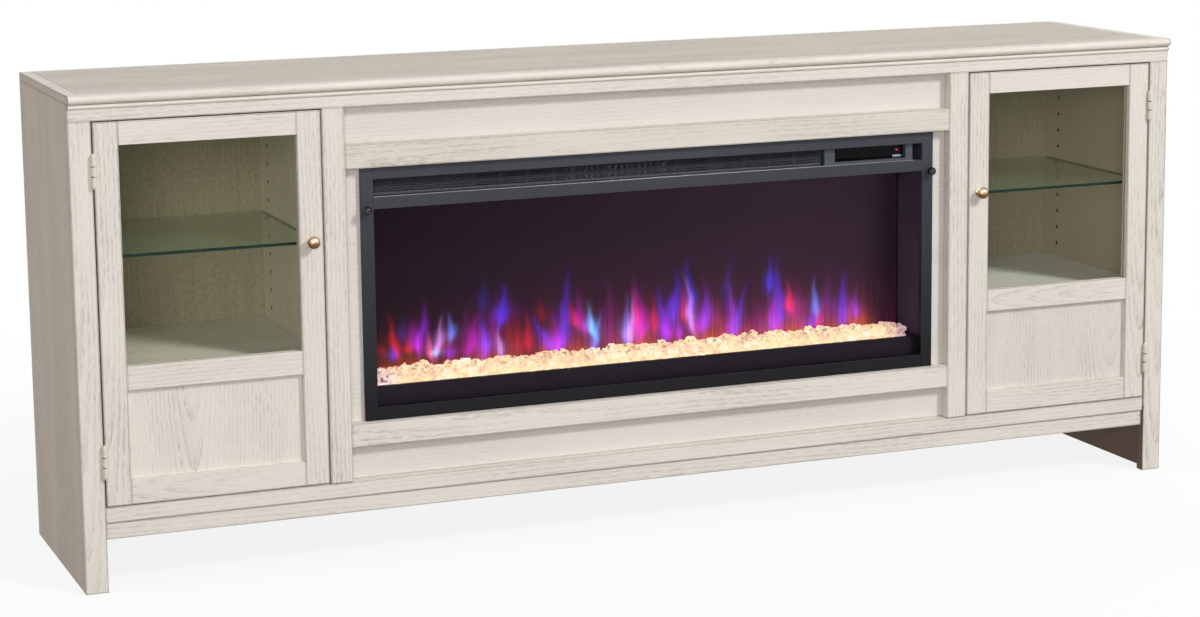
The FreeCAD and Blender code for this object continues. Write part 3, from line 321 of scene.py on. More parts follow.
def cast_acrylic(name):
    """Clear acrylic chunks with painted light: a yellow glow that they emit for the light from below, and
    on top and at the ends pale rims round painted dark middles, where the firebox shows through."""
    clear_heights, clear_ends = (0.302, 0.320), (0.455, 0.500)
    material, tree, coords = start_material(name)
    x, _, z = add(tree, "SeparateXYZ", {0: coords}).outputs
    tone = add(tree, "Attribute", attribute_name="chunk_tone").outputs["Fac"]
    # painted glints: the cut faces throw the light about in spots 7 mm across
    sparkle = add(tree, "TexNoise", {"Vector": coords, "Scale": 140.0, "Detail": 1.0})
    spread = add(tree, "MapRange", {0: sparkle, 1: 0.32, 2: 0.68, 3: -0.1, 4: 0.45})
    glint = add(tree, "Math", {0: tone, 1: 0.65, 2: spread}, operation="MULTIPLY_ADD")
    warm = add(tree, "ValToRGB", {0: glint},
               [(0.0, "#f2bda2"), (0.3, "#fddcae"), (0.6, "#fbf0b4"), (1.0, "#fffae6")])
    high = add(tree, "MapRange", {0: z, 1: clear_heights[0], 2: clear_heights[1]})
    from_middle = add(tree, "Math", {0: x}, operation="ABSOLUTE")
    ends = add(tree, "MapRange", {0: from_middle, 1: clear_ends[0], 2: clear_ends[1]})
    dark = add(tree, "Math", {0: high, 1: ends}, operation="MAXIMUM")
    # the left end still glows a little, and the right end has only the lilac of the screen
    right = add(tree, "Math", {0: x, 1: 0.0}, operation="GREATER_THAN")
    cool = add(tree, "Mix", {0: right, 6: "#eed6d2", 7: "#bba1b0"}, data_type="RGBA")
    pale = add(tree, "Mix", {0: ends, 6: warm, 7: cool}, data_type="RGBA")
    # dark middles 8 mm across, broken up, never at the rim of a chunk
    spots = add(tree, "TexNoise", {"Vector": coords, "Scale": 125.0, "Detail": 2.0})
    hollow = add(tree, "MapRange", {0: spots, 1: 0.48, 2: 0.58, 3: 0.0, 4: 0.95})
    facing = add(tree, "LayerWeight", {"Blend": 0.5}).outputs["Facing"]
    middle = add(tree, "MapRange", {0: facing, 1: 0.30, 2: 0.65, 3: 1.0, 4: 0.0})
    for share in (hollow, middle):
        dark = add(tree, "Math", {0: dark, 1: share}, operation="MULTIPLY")
    # the light turns peach in the seams between the chunks
    seam = add(tree, "MapRange", {0: facing, 1: 0.62, 2: 0.95, 3: 0.0, 4: 0.8})
    lit = add(tree, "Mix", {0: seam, 6: pale, 7: "#d68a5a"}, data_type="RGBA")
    glow = add(tree, "Mix", {0: dark, 6: lit, 7: "#4e2824"}, data_type="RGBA")
    # the glow is painted light, which the chunks emit themselves
    shader = add(tree, "BsdfPrincipled", {"Base Color": "#2a1a14", "Roughness": 0.12,
                                          "Emission Color": glow, "Emission Strength": 1.3})
    return finish_material(material, shader)


def flame_light(name):
    """Coloured light on a smoke-grey acrylic screen: the painted flames glow, the rest stays dark."""
    flame_tips = (0.34, 0.43)
    material, tree, coords = start_material(name)
    paint = add(tree, "Attribute", attribute_name="flame_paint").outputs["Color"]
    # fine upright streaks from the turning fins, 4 mm wide
    space = add(tree, "Mapping", {"Vector": coords, "Scale": (250.0, 1.0, 9.0)})
    streaks = add(tree, "TexNoise", {"Vector": space, "Scale": 1.0, "Detail": 2.0})
    flicker = add(tree, "MapRange", {0: streaks, 1: 0.25, 2: 0.75, 3: 0.65, 4: 1.25})
    # above the flames the screen is even
    height = add(tree, "SeparateXYZ", {0: coords}).outputs["Z"]
    above = add(tree, "MapRange", {0: height, 1: flame_tips[0], 2: flame_tips[1]})
    flicker = add(tree, "Mix", {0: above, 2: flicker, 3: 0.95}, data_type="FLOAT")
    shader = add(tree, "BsdfPrincipled",
                 {"Base Color": "#0c080c", "Roughness": 0.6, "Specular IOR Level": 0.1,
                  "Emission Color": paint, "Emission Strength": flicker})
    return finish_material(material, shader)


# Finishes of the solids

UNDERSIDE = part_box("bottom_panel")[0][2]
# painted shade: the darker tone that a face turned sideways takes
SHADED_SIDE_COLOUR = "#cfc1b3"
# painted shade: the side panels have a darker, duller tone than the front
SIDE_SHADE_TONES = {"pale": "#dfd2c5", "wash": "#d3c5b7", "line": "#a8978a", "figure": 0.8,
              "shade_below": UNDERSIDE}
# painted shade on the posts: on their sideways faces, and on their inner faces below the bottom panel
POST_SHADE_TONES = {"shade_below": UNDERSIDE, "sideways_shade": SHADED_SIDE_COLOUR}
# painted shade: the boards inside have a duller, olive tone, for the dim light in the cabinet
INNER_SHADE_TONES = {"pale": "#e3dbc9", "wash": "#d8cfbb", "line": "#a49a84"}
OAK_BOARDS = {
    # board: way of the grain, place along the log, heart of the log (mm across and behind), extras
    # painted shade: the top has a greyer, darker tone than the front, as the light falls on it at a slant
    "top_panel": ("x", 0.31, (70, 160), {"lean": 0.03, "pale": "#d9d2c6", "wash": "#cec6b9"}),
    "top_edge_lippings": ("x", 1.7, (40, 30), {"pale": "#efe9e0", "wash": "#e3dcd2", "figure": 0.45,
                                               "sideways_shade": SHADED_SIDE_COLOUR}),
    "under_top_bead": ("x", 0.9, (30, 20), {"figure": 0.3, "sideways_shade": SHADED_SIDE_COLOUR}),
    "frieze_rail": ("x", 2.3, (120, 60), {"figure": 0.55, "sideways_shade": SHADED_SIDE_COLOUR}),
    "left_side_panel": ("z", 0.1, (60, 140), SIDE_SHADE_TONES),
    "right_side_panel": ("z", 1.1, (60, 90), SIDE_SHADE_TONES),
    "left_front_post": ("z", 0.4, (14, 22), {**POST_SHADE_TONES, "lean": 0.05}),
    "right_front_post": ("z", 0.7, (-10, 24), {**POST_SHADE_TONES, "lean": 0.06}),
    "left_centre_stile": ("z", 1.9, (160, 60), {}),
    "right_centre_stile": ("z", 2.2, (-140, 70), {}),
    "bottom_rail": ("x", 0.6, (90, 60), {"figure": 0.6}),
    "apron_rail": ("x", 3.1, (-80, 60), {"figure": 0.6}),
    "surround_panel": ("x", 2.7, (30, 90), {"pale": "#e6e0db", "wash": "#dfd9d2", "figure": 0.3}),
    "upper_surround_rail": ("x", 0.2, (12, 20), {"pale": "#e6e0d7", "wash": "#dbd4ca", "figure": 0.7}),
    "lower_surround_rail": ("x", 1.3, (-14, 24), {"figure": 0.8}),
    "left_door_hinge_stile": ("z", 0.9, (16, 18), {"lean": 0.05}),
    "left_door_lock_stile": ("z", 1.5, (-150, 60), {"figure": 0.6}),
    "left_door_rails": ("x", 0.3, (292, 22), {"lean": 0.10, "figure": 0.55}),
    "left_door_panel": ("z", 0.13, (40, 30), {"ring": 6.5, "lean": 0.09, "figure": 0.6}),
    "right_door_hinge_stile": ("z", 0.5, (-12, 20), {"lean": 0.09}),
    "right_door_lock_stile": ("z", 2.6, (150, 60), {"figure": 0.7}),
    "right_door_rails": ("x", 1.8, (104, 24), {"lean": 0.10, "figure": 0.6}),
    "right_door_panel": ("z", 0.6, (-120, 40), {"pale": "#e7e0da", "wash": "#dcd5ce", "ring": 6.5,
                                                "lean": 0.12, "figure": 0.75}),
    "left_partition": ("z", 1.2, (60, 120), {"pale": "#efe9dc", "wash": "#e5decd", "line": "#aaa08c"}),
    "right_partition": ("z", 2.0, (60, 150), INNER_SHADE_TONES),
    "bottom_panel": ("x", 0.8, (60, 120), INNER_SHADE_TONES),
    "insert_deck": ("x", 1.6, (60, 100), INNER_SHADE_TONES),
    # painted light: the fixed shelves have the palest tones, for the light that reaches them through the
    # doors
    "left_fixed_shelf": ("x", 2.4, (60, 110), {"pale": "#f0efe9", "wash": "#e9e8e0", "figure": 0.5}),
    "right_fixed_shelf": ("x", 2.9, (60, 130), {"pale": "#f4f5f6", "wash": "#eef0f2", "figure": 0.5}),
}


def dress(node, material):
    """Gives a solid its finish."""
    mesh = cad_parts[node].data
    mesh.materials.clear()
    mesh.materials.append(material)


def dress_cabinet():
    """Oak, hardboard, glass and fittings of the cabinet and its doors."""
    for node, (grain, seed, heart, extras) in OAK_BOARDS.items():
        dress(node, whitewashed_oak(node, grain, seed, heart, **extras))
    hardboard = printed_hardboard("printed_hardboard")
    for node in ("left_back_panel", "centre_back_panel", "right_back_panel"):
        dress(node, hardboard)
    door_pane = pane_glass("door_float_glass", "#fefefa", 1.2)
    shelf_glass = pane_glass("shelf_float_glass", "#f7fcf7", 1.15, smear=0.01, edge="#062c27", dust=0.05)
    for side in ("left", "right"):
        dress(f"{side}_door_glass", door_pane)
        dress(f"{side}_glass_shelf", shelf_glass)
    # a barrel has three knuckles, and a tip at each end
    tip, barrel = 4 * MM, 49 * MM
    low, high = (corner[2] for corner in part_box("hinge_pins"))
    steps = [tip + barrel / 3, tip + 2 * barrel / 3]
    gaps = [low + step for step in steps] + [high - step for step in steps]
    painted = painted_hinge("wash_painted_steel", "#e2d9cd", "#4a3f33", gaps)
    for node in ("hinge_post_leaves", "hinge_pins", "left_door_fittings", "right_door_fittings"):
        dress(node, painted)
    dress("shelf_pins", cast_metal("plated_steel", "#c9c9c6", "#a9a9a8", 2.0, 0.3))
    dress("door_catches", moulded_plastic("catch_nylon", "#e6e1d8", 0.5))


def dress_fire():
    """Glass, painted steel, plastic and metal of the electric fire."""
    dress("fire_front_glass", pane_glass("smoked_fire_glass", "#f3eff2", 1.16, coating=0.006))
    # the top of the frame catches the light, and the foot of it stays dark
    coat = powder_coat("black_powder_coat", "#110e13", fade=(0.27, 0.69, "#484a52"))
    dress("fire_trim_frame", coat)
    dress("vent_grille", coat)
    dress("control_panel", powder_coat("grey_powder_coat", "#565963"))
    dress("ember_tray", powder_coat("tray_powder_coat", "#28262c"))
    dress("firebox_shell", powder_coat("firebox_dark_enamel", "#5d5562", roughness=0.7))
    dress("flame_screen", powder_coat("smoke_screen_acrylic", "#120d12", grit=6.0, roughness=0.5))
    dress("trim_knobs", moulded_plastic("gloss_black_phenolic", "#08080a", 0.05))
    dress("power_button", moulded_plastic("red_lens_acrylic", "#1c0506", 0.15, specular=0.1))
    dress("cord_gland", moulded_plastic("gland_nylon", "#1b1b1d", 0.45))
    dress("blower_wheel", cast_metal("blower_aluminium", "#b8babd", "#8d9094", 4.0, 0.4))
    dress("flame_spindle", cast_metal("spindle_aluminium", "#d4d6d8", "#b4b6ba", 6.0, 0.2))
    dress("drive_motors", cast_metal("zinc_plated_can", "#9c9ea0", "#77797c", 5.0, 0.38))
    dress("heating_element", cast_metal("heater_mica_steel", "#8e8a83", "#5e5a55", 3.0, 0.5))
    dress("led_board", moulded_plastic("green_circuit_board", "#1f4a2e", 0.4, "#ffb45c", 0.6))
    dress("crystal_bed", cast_acrylic("cast_acrylic_bed"))


# Tools of the bench

def millimetres(node):
    """The lowest and the highest corner of a solid, in millimetres."""
    return [[c / MM for c in corner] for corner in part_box(node)]


def begin(primitive, **settings):
    """Adds a primitive with nothing else selected and opens it for editing."""
    bpy.ops.object.select_all(action="DESELECT")
    primitive(**settings)
    bpy.ops.object.mode_set(mode="EDIT")
    bpy.ops.mesh.select_all(action="SELECT")
    return bpy.context.object


def apply_modifier(piece, kind, **settings):
    modifier = piece.modifiers.new(kind.lower(), kind)
    for name, value in settings.items():
        setattr(modifier, name, value)
    bpy.context.view_layer.objects.active = piece
    bpy.ops.object.modifier_apply(modifier=modifier.name)


def repeat(piece, count, step, weld=False):
    """A row of a piece, each a step in millimetres from the last, welded where they meet if asked."""
    apply_modifier(piece, "ARRAY", count=count, use_relative_offset=False, use_constant_offset=True,
                   constant_offset_displace=[c * MM for c in step], use_merge_vertices=weld,
                   merge_threshold=0.05 * MM)


def cut_away(piece, tool):
    """Cuts the shape of a tool out of a piece."""
    apply_modifier(piece, "BOOLEAN", operation="DIFFERENCE", object=tool, solver="EXACT")
    bpy.data.objects.remove(tool, do_unlink=True)


def settle(piece, name, body, material, smooth=None, stands_for=()):
    """Closes a piece: its place goes into its mesh, and it gets its name, body and finish."""
    bpy.ops.object.select_all(action="DESELECT")
    piece.select_set(True)
    bpy.context.view_layer.objects.active = piece
    bpy.ops.object.transform_apply(location=True, rotation=True, scale=True)
    if smooth:
        bpy.ops.object.shade_smooth_by_angle(angle=math.radians(smooth))
    piece.name = name
    piece.data.name = name
    piece.data.materials.clear()
    piece.data.materials.append(material)
    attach(piece, body)
    if stands_for:
        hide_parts(*stands_for)


def eased_block(low, high, ease):
    """A block between two corners in millimetres, with its edges rounded over."""
    middle = [(a + b) / 2 * MM for a, b in zip(low, high)]
    block = begin(bpy.ops.mesh.primitive_cube_add, size=1, location=middle)
    bpy.ops.transform.resize(value=[(b - a) * MM for a, b in zip(low, high)])
    bpy.ops.mesh.bevel(offset=ease * MM, segments=2, affect="EDGES")
    bpy.ops.object.mode_set(mode="OBJECT")
    return block


def join(pieces):
    bpy.ops.object.select_all(action="DESELECT")
    for piece in pieces:
        piece.select_set(True)
    bpy.context.view_layer.objects.active = pieces[0]
    bpy.ops.object.join()
    return pieces[0]


def turned(profile, centre, outwards, steps=32):
    """A piece turned on a lathe: radius and reach in millimetres, along -Y or +Y from its seat."""
    x, y, z = (c * MM for c in centre)
    radius, reach = profile[0]
    piece = begin(bpy.ops.mesh.primitive_plane_add, size=1 * MM,
                  location=(x + radius * MM, y + outwards * reach * MM, z))
    bpy.ops.mesh.merge(type="CENTER")
    for (r0, h0), (r1, h1) in zip(profile, profile[1:]):
        step = ((r1 - r0) * MM, outwards * (h1 - h0) * MM, 0)
        bpy.ops.mesh.extrude_vertices_move(TRANSFORM_OT_translate={"value": step})
    bpy.ops.mesh.select_all(action="SELECT")
    bpy.ops.mesh.spin(steps=steps, angle=2 * math.pi, center=(x, y, z), axis=(0, 1, 0))
    bpy.ops.mesh.select_all(action="SELECT")
    bpy.ops.mesh.remove_doubles(threshold=0.02 * MM)
    bpy.ops.mesh.normals_make_consistent(inside=False)
    bpy.ops.object.mode_set(mode="OBJECT")
    return piece


def copies(model, places):
    """Copies of one modelled shape, each with its own mesh, joined as one piece."""
    model.data.transform(model.matrix_world)
    model.matrix_world = Matrix.Identity(4)
    pieces = []
    for place in places:
        piece = model.copy()
        piece.data = model.data.copy()
        piece.data.transform(place)
        bpy.context.collection.objects.link(piece)
        pieces.append(piece)
    bpy.data.objects.remove(model, do_unlink=True)
    return join(pieces)


# Pieces of the cabinet

def turn_knobs():
    """Rosette with a rolled rim, hollowed neck, and a flattened ball with a shallow button."""
    low, high = (corner[2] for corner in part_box("left_door_knob"))
    brass = antique_brass("antique_brass", (low + high) / 2, (high - low) / 2)
    profile = [(0, 0), (6.8, 0), (7.2, 0.5), (7.0, 1.2), (6.2, 1.8), (5.2, 2.1), (4.4, 3.0), (3.9, 4.6),
               (3.9, 6.2), (4.6, 7.6), (6.2, 8.7), (8.2, 10.0), (9.7, 11.9), (10.4, 14.2), (10.4, 16.2),
               (9.7, 18.6), (8.2, 20.9), (6.2, 22.5), (4.0, 23.5), (1.8, 23.9), (0, 24.0)]
    for side in ("left", "right"):
        plain_knob = f"{side}_door_knob"
        dress(plain_knob, brass)
        (left, _, foot), (right, seat, head) = millimetres(plain_knob)
        knob = turned(profile, ((left + right) / 2, seat, (foot + head) / 2), -1)
        settle(knob, f"{side}_turned_knob", f"{side}_door", brass, smooth=40,
               stands_for=(plain_knob,))


def dress_the_back(plastic, steel):
    """Cable grommets in the two side panels, and the screws that hold the three panels."""
    outer, inner = (corner[0] for corner in millimetres("left_side_panel"))
    partition = millimetres("left_partition")[0][0]
    (_, _, foot), (seam, back, head) = millimetres("left_back_panel")
    floor = millimetres("bottom_panel")[1][2]
    rim = [(28, -6.5), (29.9, -6.5), (29.9, 0), (35, 0), (35.6, 0.7), (35, 1.6), (32, 2.2), (29, 2.2),
           (28, 1.4), (28, -6.5)]
    bay_middle = (inner + partition) / 2
    for side, x in (("left", bay_middle), ("right", -bay_middle)):
        grommet = turned(rim, (x, back, floor + 60), 1, steps=40)
        settle(grommet, f"{side}_cable_grommet", "cabinet", plastic, smooth=40)
    screw = [(0, 0.7), (0.9, 0.9), (1.5, 1.9), (2.6, 1.75), (3.5, 1.2), (4, 0.4), (4, 0), (0, 0)]
    # up the edges of the side panels and both sides of the seams, then along the bottom and the top
    edge = (outer + inner) / 2
    uprights = (edge, seam - 10, seam + 10, -seam - 10, -seam + 10, -edge)
    spots = [(x, z) for x in uprights for z in (140, 300, 460, 620, 785)]
    columns = (-870, -735, -390, -200, 0, 200, 390, 735, 870)
    spots += [(x, z) for x in columns for z in (foot + 7, head - 7)]
    screws = copies(turned(screw, (0, back, 0), 1, steps=10),
                    [Matrix.Translation((x * MM, 0, z * MM)) for x, z in spots])
    settle(screws, "back_screws", "cabinet", steel, smooth=40)


def line_pin_holes(plastic):
    """A dark sleeve with a thin flange in each shelf-pin hole that holds no pin."""
    side = millimetres("left_side_panel")[1][0]
    partition = millimetres("left_partition")[0][0]
    pin_row, front_column, back_column = 540, -131, 159
    rows = [z for z in range(380, 669, 32) if z != pin_row]
    cup = [(0, -7), (2.3, -7), (2.3, 0.2), (3.2, 0.2), (3.4, 0), (2.46, 0), (2.46, -7.2), (0, -7.2)]
    places = []
    for x, towards in ((side, 1), (partition, -1), (-partition, 1), (-side, -1)):
        turn = Matrix.Rotation(-towards * math.pi / 2, 4, "Z")
        for y in (front_column, back_column):
            places += [Matrix.Translation((x * MM, y * MM, z * MM)) @ turn for z in rows]
    sleeves = copies(turned(cup, (0, 0, 0), 1, steps=10), places)
    settle(sleeves, "pin_hole_sleeves", "cabinet", plastic, smooth=40)


# Pieces of the fire

def weave_honeycomb(low_x, high_x, depth, low_z, high_z):
    """A sheet of honeycomb: one six-sided ring, repeated in rows and trimmed to its opening."""
    across = 4.6     # the real sheet has 3 mm cells: drawn a little larger to show
    strand, thickness = 0.55, 0.6
    side = across / math.sqrt(3)
    row_height = 1.5 * side
    columns = int((high_x - low_x) / across) + 8
    rows = int((high_z - low_z) / row_height) + 2
    sheet = begin(bpy.ops.mesh.primitive_circle_add, vertices=6, radius=side * MM, fill_type="NGON",
                  location=((low_x - 6 * across) * MM, depth * MM, low_z * MM), rotation=(math.pi / 2, 0, 0))
    bpy.ops.transform.rotate(value=math.pi / 6, orient_axis="Y", center_override=sheet.location)
    bpy.ops.mesh.inset(thickness=strand * MM)
    bpy.ops.mesh.delete(type="FACE")
    bpy.ops.object.mode_set(mode="OBJECT")
    bpy.ops.object.transform_apply(location=True, rotation=True, scale=True)
    repeat(sheet, columns, (across, 0, 0), weld=True)
    repeat(sheet, rows, (across / 2, 0, row_height), weld=True)
    bpy.ops.object.mode_set(mode="EDIT")
    for point, normal in (((low_x, 0, 0), (-1, 0, 0)), ((high_x, 0, 0), (1, 0, 0)),
                          ((0, 0, low_z), (0, 0, -1)), ((0, 0, high_z), (0, 0, 1))):
        bpy.ops.mesh.select_all(action="SELECT")
        bpy.ops.mesh.bisect(plane_co=[c * MM for c in point], plane_no=normal, clear_outer=True)
    bpy.ops.object.mode_set(mode="OBJECT")
    apply_modifier(sheet, "SOLIDIFY", thickness=thickness * MM, offset=0)
    return sheet


def cut_vent_plate(low, high, slots):
    """The plate behind the vent, with rows of round-ended slots."""
    radius, stretch = 3.6, 16.5
    plate = eased_block(low, high, 0.2)
    cutters = []
    for x, z in slots:
        cutter = begin(bpy.ops.mesh.primitive_cylinder_add, vertices=16, radius=radius * MM, depth=6 * MM,
                       location=(x * MM, low[1] * MM, z * MM), rotation=(math.pi / 2, 0, 0))
        bpy.ops.object.mode_set(mode="OBJECT")
        for vertex in cutter.data.vertices:
            if abs(vertex.co.x) > 1e-6:
                vertex.co.x += math.copysign(stretch * MM, vertex.co.x)
        cutters.append(cutter)
    cut_away(plate, join(cutters))
    return plate


def fit_the_vent(coat, grey, teeth, aluminium):
    """Slotted plates, mesh, teeth and bright lip in the mouth of the heater."""
    (left, front, foot), (right, back, head) = millimetres("vent_grille")
    seam = 99     # the intake ends here, and the outlet begins
    slot_rows, slot_pitch = (625.5, 638.5), 48
    intake = [(x, z) for z in slot_rows for x in range(-306, 90, slot_pitch)]
    plate = cut_vent_plate((left + 0.3, front, foot + 0.1), (seam - 0.1, back, head - 0.1), intake)
    settle(plate, "intake_plate", "cabinet", coat, stands_for=("vent_grille",))
    outlet = [(x, z) for z in slot_rows for x in range(146, 300, slot_pitch)]
    plate = cut_vent_plate((seam, front, foot + 0.1), (right - 0.2, back, head - 0.1), outlet)
    settle(plate, "outlet_plate", "cabinet", coat)
    for name, start, end in (("vent_mesh", left + 1.5, seam - 0.2), ("outlet_mesh", seam + 0.2, right - 2)):
        mesh = weave_honeycomb(start, end, front - 0.5, foot + 0.5, head - 0.5)
        settle(mesh, name, "cabinet", grey)
    # the bent foot of the mesh: teeth at 3.4 mm
    tooth = eased_block((-512, -166.2, 618.6), (-510.4, -165.2, 621.4), 0.3)
    repeat(tooth, 244, (3.4, 0, 0))
    settle(tooth, "vent_teeth", "cabinet", teeth, smooth=40)
    lip = eased_block((-512.3, -181.2, 617.2), (497, -172.1, 618.2), 0.4)
    settle(lip, "vent_bright_lip", "cabinet", aluminium, smooth=40)


def fit_the_controls(gloss, white, red):
    """Dark window, bare label plate and lit dot in the control recess."""
    (left, front, foot), (right, _, head) = millimetres("power_button")
    play = 0.6
    window = eased_block((343.2, -161.4, 620.6), (490, -160.1, 647.5), 0.4)
    opening = eased_block((left - play, front, foot - play), (right + play, front + 4, head + play), 0.3)
    cut_away(window, opening)
    settle(window, "control_window", "cabinet", gloss, smooth=40)
    label = eased_block((462.5, -161.9, 623.0), (480.5, -161.3, 627.0), 0.2)
    settle(label, "bare_label_plate", "cabinet", white, smooth=40)
    lens = [(0, 0), (2.2, 0), (2.2, 0.3), (1.6, 0.7), (0, 0.85)]
    dot = turned(lens, ((left + right) / 2, front, (foot + head) / 2), -1, steps=20)
    settle(dot, "power_light", "button", red, smooth=40)


# rows of crystals: depth, height and pitch in millimetres
CRYSTAL_ROWS = ((-147, 290, 14), (-132, 290, 14.5), (-116, 290, 15), (-100, 290, 15),
                (-144, 302, 14.5), (-127, 303, 14), (-110, 303, 14.5), (-95, 301, 15),
                (-132, 309, 17), (-114, 310, 18))


def strew_spots(dice):
    """Where each crystal fell and how wide it is: the top rows are thin, and stop before the ends."""
    half, top_end, top_height, top_gaps = 500, 478, 305, 0.58
    spots = []
    for row, (y, z, pitch) in enumerate(CRYSTAL_ROWS):
        count = int(2 * half / pitch)
        for step in range(count):
            x = -half + (step + 0.5 + 0.3 * (row % 3 - 1)) * 2 * half / count
            if z > top_height and (abs(x) > top_end or dice.random() < top_gaps):
                continue
            spots.append((x + dice.uniform(-3, 3), y + dice.uniform(-3, 3), z + dice.uniform(-2.5, 2.5),
                          dice.uniform(14.5, 20.0)))
    return spots


def heap_crystals(acrylic):
    """Clear chunks heaped on the tray: three cut shapes, turned and sized as they fell."""
    dice = random.Random(7)
    shapes = []
    for stretch in ((1.0, 0.8, 0.75), (0.85, 0.95, 0.7), (1.05, 0.7, 0.9)):
        chunk = begin(bpy.ops.mesh.primitive_cube_add, size=1)
        bpy.ops.transform.resize(value=stretch)
        bpy.ops.mesh.bevel(offset=0.3, segments=2, profile=0.55, affect="EDGES")
        bpy.ops.object.mode_set(mode="OBJECT")
        for vertex in chunk.data.vertices:
            vertex.co += Vector([dice.uniform(-0.08, 0.08) for _ in range(3)])
        shapes.append(chunk)
    heap = bmesh.new()
    tone = heap.verts.layers.float.new("chunk_tone")
    for x, y, z, width in strew_spots(dice):
        shape = dice.choice(shapes)
        before = len(heap.verts)
        heap.from_mesh(shape.data)
        heap.verts.ensure_lookup_table()
        turn = Matrix.Rotation(dice.uniform(0, 6.28), 4, "Z")
        turn = turn @ Matrix.Rotation(dice.uniform(-0.7, 0.7), 4, "X")
        fall = Matrix.Translation((x * MM, y * MM, z * MM)) @ turn @ Matrix.Scale(width * MM, 4)
        bmesh.ops.transform(heap, matrix=fall, verts=heap.verts[before:])
        chunk_tone = dice.random()
        for vertex in heap.verts[before:]:
            vertex[tone] = chunk_tone
    bed = shapes.pop()
    heap.to_mesh(bed.data)
    heap.free()
    for shape in shapes:
        bpy.data.objects.remove(shape, do_unlink=True)
    settle(bed, "ember_crystals", "cabinet", acrylic, smooth=35, stands_for=("crystal_bed",))


FLAME_COLOURS = {
    # colour of the light, its strength, and the half width of the tongue in mm
    "red": ("#d8201c", 0.85, 5.0), "dimred": ("#b01c24", 0.35, 6.0),
    "rosered": ("#ff2c58", 0.95, 5.5), "rose": ("#ff6aa8", 0.9, 4.2),
    "magenta": ("#b414b8", 0.8, 7.0), "dimmagenta": ("#98189a", 0.38, 8.0),
    "violet": ("#9c2ae2", 0.8, 5.5), "dimviolet": ("#5a2296", 0.4, 6.0),
    "blueviolet": ("#5a34f4", 0.85, 7.0), "blue": ("#3a3cf0", 0.8, 5.0),
    "dimblue": ("#2c2c9c", 0.4, 6.0), "skyblue": ("#6a8cff", 1.0, 4.6),
    "cyan": ("#58c8ff", 1.1, 4.4), "pinkwhite": ("#e0a0ff", 0.95, 4.2),
}
# each tongue: place of its root, lean and height, in millimetres
FLAMES = {
    "red": [(-442, 321, -10, 59), (-421, 327, -1, 21), (-201, 312, -5, 55), (-112, 348, -9, 36),
            (4, 338, -3, 52), (36, 327, 2, 52), (96, 340, -4, 54), (359, 307, 0, 31)],
    "dimred": [(-471, 326, -7, 23), (-357, 325, -3, 44), (-234, 314, -2, 89), (-223, 310, 4, 30),
               (-216, 313, -6, 63), (-178, 363, -1, 36), (-167, 305, -2, 25), (11, 314, 12, 22),
               (159, 325, -2, 36), (167, 305, 4, 32), (218, 302, 4, 31), (419, 309, 4, 40),
               (451, 306, 2, 30)],
    "rosered": [(305, 339, -6, 46)],
    "rose": [(-379, 312, -6, 40)],
    "magenta": [(-405, 330, -9, 44), (-312, 316, 14, 59), (-149, 305, -5, 56), (-97, 334, -11, 58),
                (5, 316, -3, 84), (13, 321, -1, 61), (61, 312, -4, 45), (123, 316, 4, 36),
                (274, 306, -3, 63)],
    "dimmagenta": [(-319, 316, 5, 72), (-268, 326, 5, 79), (-46, 307, -5, 99), (139, 327, -4, 73),
                   (238, 304, -2, 51), (311, 322, 4, 55), (326, 311, -2, 64), (368, 313, 6, 55)],
    "violet": [(-403, 330, 10, 65), (-347, 312, 0, 25), (-288, 307, -3, 60), (83, 308, 0, 34),
               (188, 301, -4, 90), (437, 318, 0, 43)],
    "dimviolet": [(386, 334, -4, 63)],
    "blueviolet": [(-253, 363, 6, 57), (-156, 308, -35, 52), (-144, 307, 13, 110), (57, 310, -10, 75),
                   (74, 341, 6, 72), (134, 322, 4, 60), (285, 320, -8, 92), (348, 300, 2, 40),
                   (408, 306, 3, 77)],
    "blue": [(-450, 318, -2, 22), (-281, 318, -3, 53), (108, 348, -7, 85), (192, 304, 20, 75),
             (262, 381, 3, 51), (266, 303, 2, 46)],
    "dimblue": [(-432, 351, 1, 37), (-285, 393, 1, 47), (180, 347, 4, 98)],
    "skyblue": [(-346, 343, -1, 37), (-84, 335, -2, 29), (-83, 301, 16, 55), (-16, 309, -1, 67),
                (355, 329, -2, 55)],
    "cyan": [(-372, 318, 0, 14), (-77, 325, -10, 49)],
    "pinkwhite": [(-369, 321, 4, 52), (-255, 307, -3, 43), (-9, 308, 4, 71), (112, 320, -12, 82)],
}


def clamp(value, low=0.0, high=1.0):
    return min(max(value, low), high)


def tongue_at(x, z, half, root_x, root_z, lean, height):
    """The light of one tongue: a bellied body in a halo, which fades at its foot and its tip."""
    rise = (z - root_z) / height
    if abs(x - root_x) > 60 or not -0.5 < rise < 1.6:
        return 0.0
    middle = root_x + lean * rise + 0.12 * height * math.sin(2.2 * rise + root_x) * rise * (1 - rise)
    width = half * (0.70 + 0.75 * math.sin(math.pi * clamp(rise + 0.15)))
    body = math.exp(-((x - middle) / width) ** 2)
    halo = 0.13 * math.exp(-((x - middle) / (2.6 * width)) ** 2)
    foot = clamp((rise + 0.45) / 0.55)
    tip = clamp((1.45 - rise) / 1.15)
    return (body + halo) * foot * foot * tip ** 1.6


